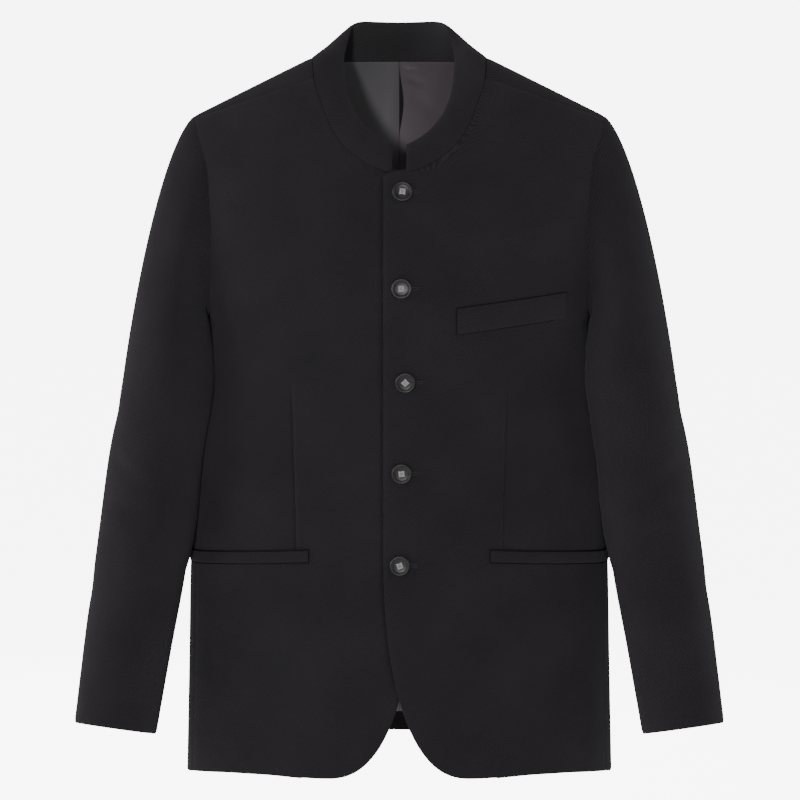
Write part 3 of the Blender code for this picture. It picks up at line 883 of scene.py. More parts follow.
class Nodes:
    """Shader nodes that the finishes share."""

    FIRST_COLOUR = 6
    LAST_COLOUR = 7
    BLENDED = 2

    @staticmethod
    def start(name: str) -> tuple[Material, Tree]:
        """Make a material with its own nodes.

        Args:
            name: Name of the material.

        Returns:
            The material and its node tree.
        """
        made = bpy.data.materials.new(name)
        made.use_nodes = True
        return made, made.node_tree

    @staticmethod
    def group(name: str, inputs: Sequence[tuple[str, float]], outputs: Sequence[str]) -> Tree:
        """Make an empty group that reads cut coordinates.

        Args:
            name: Name of the group.
            inputs: Name and default of each number it takes beside the coordinates.
            outputs: Names of the values it gives.

        Returns:
            The group, holding only its input and output nodes.
        """
        made = bpy.data.node_groups.new(name, "ShaderNodeTree")
        made.interface.new_socket("Cut", in_out="INPUT", socket_type="NodeSocketVector")
        for label, value in inputs:
            socket = made.interface.new_socket(label, in_out="INPUT", socket_type="NodeSocketFloat")
            socket.default_value = value
        for label in outputs:
            made.interface.new_socket(label, in_out="OUTPUT", socket_type="NodeSocketFloat")
        made.nodes.new("NodeGroupInput")
        made.nodes.new("NodeGroupOutput")
        return made

    @staticmethod
    def math(tree: Tree, operation: str, first: object, second: object = None,
             third: object = None) -> Socket:
        """Add a math node.

        Args:
            tree: Tree to add it to.
            operation: Name of the operation.
            first: Socket or number.
            second: Socket or number, if the operation has one.
            third: Socket or number, if the operation has one.

        Returns:
            The node's output.
        """
        node = tree.nodes.new("ShaderNodeMath")
        node.operation = operation
        for socket, value in zip(node.inputs, (first, second, third)):
            if isinstance(value, Socket):
                tree.links.new(value, socket)
            elif value is not None:
                socket.default_value = value
        return node.outputs[0]

    @classmethod
    def wave(cls, tree: Tree, turns: Socket) -> Socket:
        """Add a sine of a number of full turns."""
        return cls.math(tree, "SINE", cls.math(tree, "MULTIPLY", turns, 2 * math.pi))

    @staticmethod
    def noise(tree: Tree, vector: Socket, scale: float,
              detail: float) -> Socket:
        """Add a noise texture.

        Args:
            tree: Tree to add it to.
            vector: Coordinates.
            scale: Repeats in each metre.
            detail: Levels of finer noise.

        Returns:
            The noise value.
        """
        node = tree.nodes.new("ShaderNodeTexNoise")
        node.inputs["Scale"].default_value = scale
        node.inputs["Detail"].default_value = detail
        tree.links.new(vector, node.inputs["Vector"])
        return node.outputs["Fac"]

    @staticmethod
    def weave(tree: Tree, group: Tree) -> bpy.types.bpy_prop_collection:
        """Place a weave group on a piece's cut coordinates.

        Args:
            tree: Tree to add it to.
            group: The weave.

        Returns:
            The outputs of the group.
        """
        place = tree.nodes.new("ShaderNodeUVMap")
        place.uv_map = CUT_MAP
        node = tree.nodes.new("ShaderNodeGroup")
        node.node_tree = group
        tree.links.new(place.outputs[0], node.inputs["Cut"])
        return node.outputs

    @classmethod
    def colour(cls, tree: Tree, share: Socket, first: Colour, last: Colour) -> None:
        """Colour the shader by a blend of two colours.

        Args:
            tree: Tree of the material.
            share: Share of the last colour.
            first: Colour at share 0.
            last: Colour at share 1.
        """
        node = tree.nodes.new("ShaderNodeMix")
        node.data_type = "RGBA"
        node.inputs[cls.FIRST_COLOUR].default_value = first
        node.inputs[cls.LAST_COLOUR].default_value = last
        tree.links.new(share, node.inputs[0])
        tree.links.new(node.outputs[cls.BLENDED], tree.nodes["Principled BSDF"].inputs["Base Color"])

    @staticmethod
    def bump(tree: Tree, height: Socket, strength: float, distance: float) -> None:
        """Raise the surface by a height.

        Args:
            tree: Tree of the material.
            height: The height.
            strength: Strength of the bump.
            distance: Size of one step of height.
        """
        node = tree.nodes.new("ShaderNodeBump")
        node.inputs["Strength"].default_value = strength
        node.inputs["Distance"].default_value = distance
        tree.links.new(height, node.inputs["Height"])
        tree.links.new(node.outputs[0], tree.nodes["Principled BSDF"].inputs["Normal"])

    @staticmethod
    def values(tree: Tree, settings: dict[str, object]) -> None:
        """Set plain values on the shader's own sockets."""
        for name, value in settings.items():
            tree.nodes["Principled BSDF"].inputs[name].default_value = value


@dataclass(frozen=True)
class TwillWeave:
    """Diagonal twill ribs with uneven yarns, counted in each metre."""

    name: str = "twill_weave"
    ribs: float = 310.0
    yarns: float = 620.0
    wander_scale: float = 90.0
    wander_detail: float = 2.0
    pick_share: float = 0.3
    fleck_scale: float = 1100.0
    rib_tone: float = 0.16
    broad_scale: float = 14.0
    detail: float = 3.0

    def group(self) -> Tree:
        """Find or make the node group.

        Returns:
            A group from cut coordinates to the ribs' height, a yarn tone and a broad tone.
        """
        known = bpy.data.node_groups.get(self.name)
        if known is not None:
            return known
        counts = (("Ribs", self.ribs), ("Yarns", self.yarns))
        made = Nodes.group(self.name, counts, ("Height", "Yarn", "Broad"))
        entry, leave = made.nodes["Group Input"].outputs, made.nodes["Group Output"].inputs
        parts = made.nodes.new("ShaderNodeSeparateXYZ")
        made.links.new(entry["Cut"], parts.inputs[0])
        wander = Nodes.noise(made, entry["Cut"], self.wander_scale, self.wander_detail)
        slope = Nodes.math(made, "SUBTRACT", parts.outputs[0], parts.outputs[1])
        rib = Nodes.wave(made, Nodes.math(made, "MULTIPLY_ADD", slope, entry["Ribs"], wander))
        picks = Nodes.wave(made, Nodes.math(made, "MULTIPLY", parts.outputs[1], entry["Yarns"]))
        fleck = Nodes.noise(made, entry["Cut"], self.fleck_scale, self.detail)
        made.links.new(Nodes.math(made, "MULTIPLY_ADD", picks, self.pick_share, rib), leave["Height"])
        made.links.new(Nodes.math(made, "MULTIPLY_ADD", rib, self.rib_tone, fleck), leave["Yarn"])
        made.links.new(Nodes.noise(made, entry["Cut"], self.broad_scale, self.detail), leave["Broad"])
        return made


@dataclass(frozen=True)
class SatinWeave:
    """Fine satin threads with soft streaks, counted in each metre."""

    name: str = "satin_weave"
    threads: float = 1500.0
    stretch: tuple[float, float, float] = (1.0, 0.06, 1.0)
    streak_scale: float = 700.0
    detail: float = 3.0
    side_slope: float = 40.0
    side_middle: float = 0.5

    def group(self) -> Tree:
        """Make the node group.

        Returns:
            A group from cut coordinates to the threads' height, a streak tone and a side-to-side tone; the
            side-to-side tone paints the satin's reflection.
        """
        made = Nodes.group(self.name, (("Threads", self.threads),), ("Height", "Streak", "Side"))
        entry, leave = made.nodes["Group Input"].outputs, made.nodes["Group Output"].inputs
        parts = made.nodes.new("ShaderNodeSeparateXYZ")
        made.links.new(entry["Cut"], parts.inputs[0])
        stretch = made.nodes.new("ShaderNodeMapping")
        stretch.inputs["Scale"].default_value = self.stretch
        made.links.new(entry["Cut"], stretch.inputs["Vector"])
        thread = Nodes.math(made, "MULTIPLY", parts.outputs[0], entry["Threads"])
        # Side-to-side tone for the lining's painted reflection.
        side = Nodes.math(made, "MULTIPLY_ADD", parts.outputs[0], self.side_slope, self.side_middle)
        made.links.new(Nodes.math(made, "SINE", thread), leave["Height"])
        made.links.new(Nodes.noise(made, stretch.outputs[0], self.streak_scale, self.detail), leave["Streak"])
        made.links.new(side, leave["Side"])
        return made


@dataclass(frozen=True)
class TwillFinish:
    """Matt black wool twill with a little sheen."""

    name: str = "cloth_black_twill"
    dark: Colour = (0.0081, 0.0073, 0.0082, 1.0)
    pale: Colour = (0.0210, 0.0189, 0.0211, 1.0)
    broad_share: float = 0.35
    tone_from: float = 0.38
    tone_to: float = 0.98
    roughness: float = 0.92
    specular: float = 0.06
    diffuse_roughness: float = 1.0
    sheen: float = 0.018
    sheen_roughness: float = 0.50
    sheen_tint: Colour = (0.92, 0.90, 0.95, 1.0)
    bump: float = 0.55
    bump_distance: float = 0.00012

    def material(self) -> Material:
        """Make the material.

        Returns:
            The material.
        """
        made, tree = Nodes.start(self.name)
        weave = Nodes.weave(tree, TwillWeave().group())
        tone = Nodes.math(tree, "MULTIPLY_ADD", weave["Broad"], self.broad_share, weave["Yarn"])
        ramp = tree.nodes.new("ShaderNodeMapRange")
        ramp.inputs["From Min"].default_value = self.tone_from
        ramp.inputs["From Max"].default_value = self.tone_to
        tree.links.new(tone, ramp.inputs["Value"])
        Nodes.colour(tree, ramp.outputs[0], self.dark, self.pale)
        Nodes.bump(tree, weave["Height"], self.bump, self.bump_distance)
        Nodes.values(tree, {"Roughness": self.roughness, "Specular IOR Level": self.specular,
                            "Diffuse Roughness": self.diffuse_roughness, "Sheen Weight": self.sheen,
                            "Sheen Roughness": self.sheen_roughness, "Sheen Tint": self.sheen_tint})
        return made


@dataclass(frozen=True)
class LiningFinish:
    """Grey satin lining, warmer and darker on the wearer's left, which is a painted reflection of the satin."""

    name: str = "cloth_grey_lining"
    cool: Colour = (0.089, 0.0845, 0.0905, 1.0)
    warm: Colour = (0.077, 0.0645, 0.0735, 1.0)
    streak_share: float = 0.6
    side_shift: float = 0.3
    roughness: float = 0.46
    specular: float = 0.35
    bump: float = 0.12
    bump_distance: float = 0.00006

    def material(self) -> Material:
        """Make the material.

        Returns:
            The material.
        """
        made, tree = Nodes.start(self.name)
        weave = Nodes.weave(tree, SatinWeave().group())
        # The blend from cool to warm across the back is a painted reflection of the satin; the streaks vary at random.
        shifted = Nodes.math(tree, "SUBTRACT", weave["Side"], self.side_shift)
        side = Nodes.math(tree, "MULTIPLY_ADD", weave["Streak"], self.streak_share, shifted)
        Nodes.colour(tree, side, self.cool, self.warm)
        Nodes.bump(tree, weave["Height"], self.bump, self.bump_distance)
        Nodes.values(tree, {"Roughness": self.roughness, "Specular IOR Level": self.specular})
        return made


@dataclass(frozen=True)
class HornFinish:
    """Dark grey polished button, cloudy inside."""

    name: str = "button_dark_horn"
    dark: Colour = (0.0052, 0.0050, 0.0054, 1.0)
    pale: Colour = (0.0128, 0.0121, 0.0128, 1.0)
    least_roughness: float = 0.31
    cloud_roughness: float = 0.18
    specular: float = 0.24
    cloud_scale: float = 260.0
    cloud_detail: float = 4.0

    def material(self) -> Material:
        """Make the material.

        Returns:
            The material.
        """
        made, tree = Nodes.start(self.name)
        place = tree.nodes.new("ShaderNodeTexCoord")
        cloud = Nodes.noise(tree, place.outputs["Object"], self.cloud_scale, self.cloud_detail)
        Nodes.colour(tree, cloud, self.dark, self.pale)
        rough = Nodes.math(tree, "MULTIPLY_ADD", cloud, self.cloud_roughness, self.least_roughness)
        tree.links.new(rough, tree.nodes["Principled BSDF"].inputs["Roughness"])
        Nodes.values(tree, {"Specular IOR Level": self.specular})
        return made


@dataclass(frozen=True)
class ThreadFinish:
    """Twisted sewing thread."""

    name: str
    colour: Colour
    roughness: float = 0.6
    twist_scale: float = 2600.0
    specular: float = 0.3
    twist_detail: float = 2.0
    twist_shade: float = 0.55

    def material(self) -> Material:
        """Make the material.

        Returns:
            The material.
        """
        made, tree = Nodes.start(self.name)
        place = tree.nodes.new("ShaderNodeTexCoord")
        fibre = Nodes.noise(tree, place.outputs["Object"], self.twist_scale, self.twist_detail)
        shade = tuple(self.twist_shade * part for part in self.colour[:3]) + (1.0,)
        Nodes.colour(tree, fibre, shade, self.colour)
        Nodes.values(tree, {"Roughness": self.roughness, "Specular IOR Level": self.specular})
        return made


@dataclass(frozen=True)
class Finishes:
    """Materials of the jacket."""

    twill: Material
    # lighter copy of the same black twill for the collar's inner face: painted light
    inside_twill: Material
    lining: Material
    horn: Material
    pale_thread: Material
    black_thread: Material
    # near-black matt finish that paints the shade in the pocket slits and along the neck seam
    pocketing: Material

    @classmethod
    def make(cls) -> "Finishes":
        """Make every material.

        Returns:
            The materials.
        """
        finishes = (
            TwillFinish(),
            # Lighter copy of the same black twill for the collar's inner face: painted light on the same cloth.
            TwillFinish("cloth_black_twill_inside", (0.0118, 0.0111, 0.0121, 1.0),
                        (0.0310, 0.0290, 0.0312, 1.0)),
            LiningFinish(),
            HornFinish(),
            ThreadFinish("thread_pale_grey", (0.22, 0.209, 0.213, 1.0)),
            ThreadFinish("thread_black", (0.024, 0.023, 0.025, 1.0), specular=0.12),
            # Near-black and matt with no specular: painted shade for the pocket slits and the neck seam line.
            ThreadFinish("pocketing_black", (0.0085, 0.0082, 0.0088, 1.0), 1.0, 900.0, 0.0),
        )
        return cls(*(finish.material() for finish in finishes))


class Sewing:
    """Round threads and the pieces made from them."""

    NEARLY_UP = (0.02, 0.03, 1.0)

    @staticmethod
    def tube(builder: bmesh.types.BMesh, line: Array, radii: Array, closed: bool, sides: int = 8) -> None:
        """Add a tube along a line.

        Args:
            builder: The bmesh to add it to.
            line: Points along it.
            radii: Radius at each point.
            closed: Whether it joins its own start.
            sides: Sides of its section.
        """
        count = len(line)
        if closed:
            tangent = unit(np.roll(line, -1, axis=0) - np.roll(line, 1, axis=0))
        else:
            tangent = unit(np.gradient(line, axis=0))
        across = unit(np.cross(tangent, np.array(Sewing.NEARLY_UP)))
        upward = np.cross(across, tangent)
        turn = np.linspace(0, 2 * math.pi, sides, endpoint=False)
        rings = []
        for number in range(count):
            ring = line[number] + radii[number] * (np.outer(np.cos(turn), across[number])
                                                   + np.outer(np.sin(turn), upward[number]))
            rings.append([builder.verts.new(point) for point in ring])
        pairs = list(zip(rings, rings[1:])) + ([(rings[-1], rings[0])] if closed else [])
        for ring, following in pairs:
            for side in range(sides):
                after = (side + 1) % sides
                builder.faces.new((ring[side], ring[after], following[after], following[side]))
        if not closed:
            builder.faces.new(rings[0][::-1])
            builder.faces.new(rings[-1])

    @staticmethod
    def item(name: str, builder: bmesh.types.BMesh, matrix: Matrix) -> Item:
        """Turn a bmesh into an object with its place in its points.

        Args:
            name: Name of the object.
            builder: The bmesh, freed here.
            matrix: Where it goes.

        Returns:
            The object.
        """
        bmesh.ops.recalc_face_normals(builder, faces=builder.faces[:])
        builder.transform(matrix)
        mesh = bpy.data.meshes.new(name)
        builder.to_mesh(mesh)
        builder.free()
        mesh.shade_smooth()
        return add_object(name, mesh)


def dress(item: Item, material: Material, slot: Optional[Slot],
          nodes: Sequence[str] = ()) -> Item:
    """Give a piece its material, body, slot and the node it stands for.

    Args:
        item: The piece.
        material: Its material.
        slot: The record's slot, if it takes one.
        nodes: Nodes it stands for.

    Returns:
        The piece.
    """
    item.data.materials.append(material)
    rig.ride(item, "root")
    if nodes:
        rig.replaces(item, *nodes)
    if slot is not None:
        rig.slot(item, slot.value)
    LOG.info("%s: %d faces", item.name, len(item.data.polygons))
    return item


def declare(item: Item, cut: Cut, held: Held, rests_on: Sequence[str] = (),
            with_pieces: Sequence[Item] = ()) -> None:
    """Say that a piece is a sheet of cloth."""
    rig.sheet(item, flat=(cut.width, cut.length), held=held.value, rests_on=list(rests_on), area=cut.area,
             with_pieces=list(with_pieces))


@dataclass(frozen=True)
class BodySizes:
    """Divisions, cloth and folds of the body panels."""

    cloth: float = 0.0020
    front_cut: Cut = Cut(0.254, 0.742, 0.157)
    side_cut: Cut = Cut(0.110, 0.496, 0.0438)
    back_cut: Cut = Cut(0.230, 0.770, 0.1637)
    lower_rows: int = 110
    upper_steps: int = 6
    inner_columns: int = 26
    outer_columns: int = 28
    back_columns: int = 44
    side_columns: int = 24
    near_hem: tuple[float, ...] = (0, 0.0007, 0.002, 0.0045, 0.008, 0.0135, 0.02, 0.028, 0.037, 0.048, 0.06,
                                   0.074, 0.09, 0.109)
    rows_from_share: float = 0.13
    dart_lines: tuple[float, ...] = (-0.0045, -0.0016, -0.0006, 0.0, 0.0006, 0.0016, 0.0045)
    dart_top: EdgePoint = EdgePoint(0.1095, -0.3090)
    dart_end: EdgePoint = EdgePoint(0.1046, -0.4950)
    dart_groove: float = 0.0016
    dart_groove_width: float = 0.0009
    dart_hollow: float = 0.0016
    dart_hollow_width: float = 0.014
    dart_sewn_rise: float = 4.0
    dart_soft_end: float = 1.35
    dart_soft_rise: float = 2.2
    seam_sink: float = 0.0007
    seam_width: float = 0.0024
    front_creases: tuple[Crease, ...] = table(Crease, (
        (0.205, -0.150, 0.120, -0.235, 0.016, -0.0016),
        (0.215, -0.205, 0.150, -0.290, 0.014, 0.0008),
        (0.060, -0.330, 0.170, -0.395, 0.020, -0.0010),
        (0.020, -0.440, 0.100, -0.470, 0.016, -0.0008),
        (0.125, -0.560, 0.140, -0.740, 0.026, -0.0014),
        (0.050, -0.560, 0.075, -0.700, 0.020, 0.0009),
        (0.090, -0.100, 0.150, -0.190, 0.024, -0.0010),
        (0.2150, -0.272, 0.2300, -0.500, 0.024, 0.0050),
    ))
    dimple_reach: float = 0.013
    dimple_width: float = 0.009
    dimple_depth: float = -0.0009
    lap_beside: float = 0.0016
    lap_depth: float = 0.0032
    lap_width: float = 0.0011
    lap_top: float = -0.117
    lap_end: float = -0.636
    lap_fade: float = 0.016
    lap_lines: tuple[float, ...] = (-0.0020, -0.0011, -0.0005, 0.0001, 0.0007, 0.0014, 0.0025)
    lap_lines_from: float = 0.0040
    lap_room: float = 0.060
    back_creases: tuple[Crease, ...] = table(Crease, (
        (0.190, -0.130, 0.105, -0.250, 0.020, -0.0024),
        (0.150, -0.180, 0.115, -0.330, 0.018, 0.0014),
        (0.020, -0.395, 0.150, -0.420, 0.016, -0.0020),
        (0.060, -0.430, 0.190, -0.470, 0.014, -0.0014),
        (0.050, -0.350, 0.120, -0.365, 0.013, 0.0012),
        (0.090, -0.520, 0.110, -0.720, 0.026, -0.0020),
        (0.010, -0.030, 0.070, -0.060, 0.014, -0.0009),
    ))
    side_creases: tuple[Crease, ...] = table(Crease, (
        (0.180, -0.395, 0.300, -0.375, 0.013, -0.0012),
        (0.180, -0.430, 0.300, -0.450, 0.015, -0.0010),
        (0.1890, -0.272, 0.2070, -0.500, 0.024, 0.0050),
    ))


@dataclass
class BodyPanels:
    """Fronts, side bodies and back halves."""

    pattern: Pattern
    sizes: BodySizes
    finishes: Finishes

    def shares(self) -> Array:
        """Rows below the arms as shares of the way up from the hem."""
        sizes = self.sizes
        return np.concatenate((sizes.near_hem, np.linspace(sizes.rows_from_share, 1, sizes.lower_rows)))

    def upper_index(self, rows: int) -> Array:
        """Fractional row numbers beside the armhole, starting above the corner at -1."""
        steps = self.sizes.upper_steps
        return np.linspace(-1, rows - 1, rows * steps + 1)[1:]

    def dart_x(self, z: Array) -> Array:
        """Line of the front dart.

        Args:
            z: Heights.

        Returns:
            Distances from the centre.
        """
        top, end = self.sizes.dart_top, self.sizes.dart_end
        share = np.clip((top.height - z) / (top.height - end.height), 0, 1)
        return mix(top.x, end.x, share)

    def front_columns(self, inner: float, outer: float, z: float) -> Array:
        """Places across a front, with close lines along the other front's edge and the dart.

        Args:
            inner: Inner edge.
            outer: Outer edge.
            z: Height of the row there.

        Returns:
            Rising distances from the centre.
        """
        sizes = self.sizes
        lines = self.dart_x(z) + np.array(sizes.dart_lines)
        even = np.linspace(inner, lines[0], sizes.inner_columns + 1)[:-1]
        from_edge = max(sizes.lap_beside - 2 * float(self.pattern.front_edge(z)), sizes.lap_lines_from)
        room = min(1.0, (lines[0] - inner) / sizes.lap_room)
        close = inner + (from_edge + np.array(sizes.lap_lines)) * room
        first = np.sort(np.concatenate((even, close)))
        turn = np.sin(np.linspace(0, self.pattern.sizes.front_seam, sizes.outer_columns + 1))
        last = mix(lines[-1], outer, turn / turn[-1])[1:]
        return np.concatenate((first, lines, last))

    def row(self, x: Array, inner: EdgePoint, outer: EdgePoint, face: int) -> Array:
        """Row of a panel beside the armhole, at a steady distance below the ridge.

        Args:
            x: Places across.
            inner: Inner end.
            outer: Outer end.
            face: Sign of Y.

        Returns:
            The row's points.
        """
        figure = self.pattern.figure
        share = (x - inner.x) / (outer.x - inner.x)
        drop = mix(figure.ridge(inner.x) - inner.height, figure.ridge(outer.x) - outer.height, share)
        return figure.point(x, figure.ridge(x) - drop, face)

    def edge_reader(self, drawn: Sequence[EdgePoint], corner: float, index: Array) -> list[EdgePoint]:
        """Inner edge at fractional rows.

        Args:
            drawn: The edge's points.
            corner: Height of the row before the first.
            index: Fractional row numbers.

        Returns:
            The edge there.
        """
        rows = np.arange(-1, len(drawn))
        x = smooth(rows, [drawn[0].x] + [point.x for point in drawn], index)
        z = smooth(rows, [corner] + [point.height for point in drawn], index)
        return [EdgePoint(float(a), float(b)) for a, b in zip(x, z)]

    def front_grid(self, lapped: bool) -> Grid:
        """Outer face of one front.

        Args:
            lapped: Whether it lies over the other front.

        Returns:
            The grid, hem first.
        """
        pattern, cut = self.pattern, self.pattern.sizes
        corner, half_gap = pattern.front_corner, cut.seam_gap / 2
        hem_side = float(column(cut.hem, "height", math.degrees(cut.front_seam)))
        rows = []
        for share in self.shares():
            inner = float(pattern.front_edge(mix(cut.front_hem, corner, share)))
            outer = float(pattern.seam_x(cut.front_seam, mix(hem_side, corner, share))) - half_gap
            x = self.front_columns(inner, outer, mix(cut.front_hem, corner, share))
            z = mix(pattern.hem(x, Face.FRONT), corner, share)
            rows.append(pattern.figure.point(x, z, Face.FRONT.value))
        index = self.upper_index(len(cut.front_edge))
        last = len(cut.front_edge) - 1
        turns = np.interp(index, (-1, last), (pattern.corner_turn(cut.front_seam), cut.shoulder_seam_turn))
        edges = self.edge_reader(cut.front_edge, corner, index)
        for inner, turn, number in zip(edges, turns, index):
            drop = half_gap if number == last else 0.0
            outer = pattern.armhole(turn)
            inner = EdgePoint(inner.x, inner.height - drop)
            x = self.front_columns(inner.x, float(outer[0]), inner.height)
            end = EdgePoint(float(outer[0]), float(outer[2]) - drop)
            rows.append(self.row(x, inner, end, Face.FRONT.value))
        points = np.stack(rows)
        normals = pattern.figure.normal(points)
        coordinates = body_cut(points)
        lift = self.dart_relief(points) + self.seam_relief(coordinates, False)
        lift = lift + (pattern.lift(points[..., 0]) if lapped else self.lap_relief(points))
        return Grid(points + normals * lift[..., None], normals, coordinates)

    def lap_relief(self, points: Array) -> Array:
        """Groove of the lower front along the upper front's edge.

        Args:
            points: Points of the lower front.

        Returns:
            Distances along the outward directions.
        """
        sizes, z = self.sizes, points[..., 2]
        side = points[..., 0] + self.pattern.front_edge(z) - sizes.lap_beside
        shown = ease((sizes.lap_top - z) / sizes.lap_fade) * ease((z - sizes.lap_end) / sizes.lap_fade)
        return -sizes.lap_depth * shown * np.exp(-(side / sizes.lap_width) ** 2)

    def dart_relief(self, points: Array) -> Array:
        """Sewn groove and soft hollow of the dart.

        Args:
            points: Points of a front.

        Returns:
            Distances along the outward directions.
        """
        sizes = self.sizes
        side = points[..., 0] - self.dart_x(points[..., 2])
        length = sizes.dart_top.height - sizes.dart_end.height
        share = (sizes.dart_top.height - points[..., 2]) / length
        sewn = ease(share * sizes.dart_sewn_rise) * (share < 1.0)
        soft = np.clip(share * (sizes.dart_soft_end - share) * sizes.dart_soft_rise, 0, 1)
        groove = sizes.dart_groove * np.exp(-(side / sizes.dart_groove_width) ** 2) * sewn
        hollow = sizes.dart_hollow * np.exp(-(side / sizes.dart_hollow_width) ** 2) * soft
        return -groove - hollow

    def seam_relief(self, cut: Array, inner_is_seam: bool) -> Array:
        """Valleys along the outer seam, the top seam and the inner one.

        Args:
            cut: Cut coordinates.
            inner_is_seam: Whether the first column is sewn.

        Returns:
            Distances along the outward directions.
        """
        away = np.minimum(np.abs(cut[..., 0] - cut[:, -1:, 0]), np.abs(cut[..., 1] - cut[-1:, :, 1]))
        if inner_is_seam:
            away = np.minimum(away, np.abs(cut[..., 0] - cut[:, :1, 0]))
        return -self.sizes.seam_sink * np.exp(-(away / self.sizes.seam_width) ** 2)

    def back_grid(self, last_row: int, hem_rise: float = 0.0, side_inset: float = 0.0,
                  finer: int = 1) -> Grid:
        """Outer face of one half of the back, or the line of its lining.

        Args:
            last_row: Last row of the back's table to reach.
            hem_rise: Distance of the lower edge above the hem.
            side_inset: Distance of the outer edge inside the seam.
            finer: How many times closer the rows and columns lie.

        Returns:
            The grid, hem first.
        """
        pattern, cut, figure = self.pattern, self.pattern.sizes, self.pattern.figure
        corner, half_gap = pattern.back_corner, cut.seam_gap / 2
        columns = self.sizes.back_columns * finer
        turn = np.sin(np.linspace(0, cut.front_seam, columns + 1))
        spread = turn / turn[-1]
        hem_side = float(column(cut.hem, "height", math.degrees(cut.back_seam))) + hem_rise
        rows = []
        for share in self.shares():
            outer = float(pattern.seam_x(cut.back_seam, mix(hem_side, corner, share))) - half_gap - side_inset
            x = mix(0.0, outer, spread)
            z = mix(pattern.hem(x, Face.BACK) + hem_rise, corner, share)
            rows.append(figure.point(x, z, Face.BACK.value))
        index = np.linspace(-1, last_row, (last_row + 1) * self.sizes.upper_steps * finer + 1)[1:]
        last = len(cut.back_edge) - 1
        full = 2 * math.pi
        turns = np.interp(index, (-1, cut.ridge_row, last),
                          (pattern.corner_turn(cut.back_seam), full, full + cut.shoulder_seam_turn))
        edges = self.back_edges(index)
        for (inner, face), turn_here, number in zip(edges, turns, index):
            rise = half_gap if number == last else 0.0
            outer = pattern.armhole(turn_here)
            inner = EdgePoint(max(inner.x, 0.0), inner.height + rise)
            end = EdgePoint(float(outer[0]) - side_inset, float(outer[2]) + rise)
            rows.append(self.row(mix(inner.x, end.x, spread), inner, end, face))
        points = np.stack(rows)
        return Grid(points, figure.normal(points), body_cut(points))

    def back_edges(self, index: Array) -> list[tuple[EdgePoint, int]]:
        """Inner edge of the back at fractional rows, and the face it lies on.

        Args:
            index: Fractional row numbers.

        Returns:
            The edge points with their signs of Y.
        """
        cut, figure = self.pattern.sizes, self.pattern.figure
        drawn = cut.back_edge
        rows = np.arange(-1, len(drawn))
        heights = [self.pattern.back_corner] + [point.height for point in drawn]
        places = [drawn[0].x] + [point.x for point in drawn]
        signs = np.where(rows <= cut.ridge_row, 1, -1)
        below = signs * np.sqrt(np.maximum(figure.ridge(np.array(places)) - heights, 0))
        signed = smooth(rows, below, index)
        edges = self.edge_reader(drawn, self.pattern.back_corner, index)
        found = []
        for number, edge, value in zip(index, edges, signed):
            if number > cut.ridge_row - 1:
                edge = EdgePoint(edge.x, float(figure.ridge(edge.x) - value * value))
            found.append((edge, Face.BACK.value if value >= 0 else Face.FRONT.value))
        return found

    def side_grid(self) -> Grid:
        """Outer face of one side body.

        Returns:
            The grid, hem first.
        """
        pattern, cut, figure = self.pattern, self.pattern.sizes, self.pattern.figure
        margin = cut.seam_gap / 2 / figure.sizes.sections[0].half_width
        angles = np.linspace(cut.front_seam + margin, cut.back_seam - margin, self.sizes.side_columns + 1)
        hem = column(cut.hem, "height", np.degrees(angles))
        top = np.array([pattern.corner(angle) for angle in angles])
        points = np.stack([figure.round(angles, mix(hem, top, share)) for share in self.shares()])
        coordinates = body_cut(points)
        sink = self.seam_relief(coordinates, True)
        normals = figure.normal(points)
        return Grid(points + normals * sink[..., None], normals, coordinates)

    def build(self, hand: Hand) -> list[Grid]:
        """Build the panels of one side.

        Args:
            hand: Side of the wearer.

        Returns:
            The panels' outer faces, for the sleeve to rest against.
        """
        sizes, twill = self.sizes, self.finishes.twill
        open_rows = len(self.shares()) + (self.pattern.sizes.collar_from + 1) * sizes.upper_steps
        front_edges = EdgeFinish(Edge.FOLD, Edge.SEAM, Edge.FOLD, Edge.SEAM, open_rows)
        plain_edges = EdgeFinish(Edge.FOLD, Edge.SEAM, Edge.SEAM, Edge.SEAM)
        back = self.back_grid(len(self.pattern.sizes.back_edge) - 1)
        sink = self.seam_relief(back.cut, True)
        back = Grid(back.points + back.normals * sink[..., None], back.normals, back.cut)
        front = self.front_grid(hand is Hand.LEFT)
        dimples = tuple(
            Crease(seat.x - sizes.dimple_reach, seat.height, seat.x + sizes.dimple_reach, seat.height,
                   sizes.dimple_width, sizes.dimple_depth)
            for seat in self.pattern.sizes.buttons)
        pieces = (
            ("front", front, front_edges, sizes.front_creases + dimples, sizes.front_cut, ("back",)),
            ("side", self.side_grid(), plain_edges, sizes.side_creases, sizes.side_cut, ("front", "back")),
            ("back", back, plain_edges, sizes.back_creases, sizes.back_cut, ()),
        )
        skins = []
        for word, grid, edges, creases, cut, sewn_to in pieces:
            node = f"{word}_{hand.word}"
            across = -1 if word == "back" else 1
            shell = ClothShell(f"{node}_cloth", grid, sizes.cloth, edges, Relief(creases), hand, across)
            item = dress(shell.build(), twill, Slot.TWILL, (node,))
            declare(item, cut, Held.HUNG, [f"{other}_{hand.word}_cloth" for other in sewn_to])
            skins.append(Grid(shell.faces()[0], grid.normals, grid.cut))
        return skins


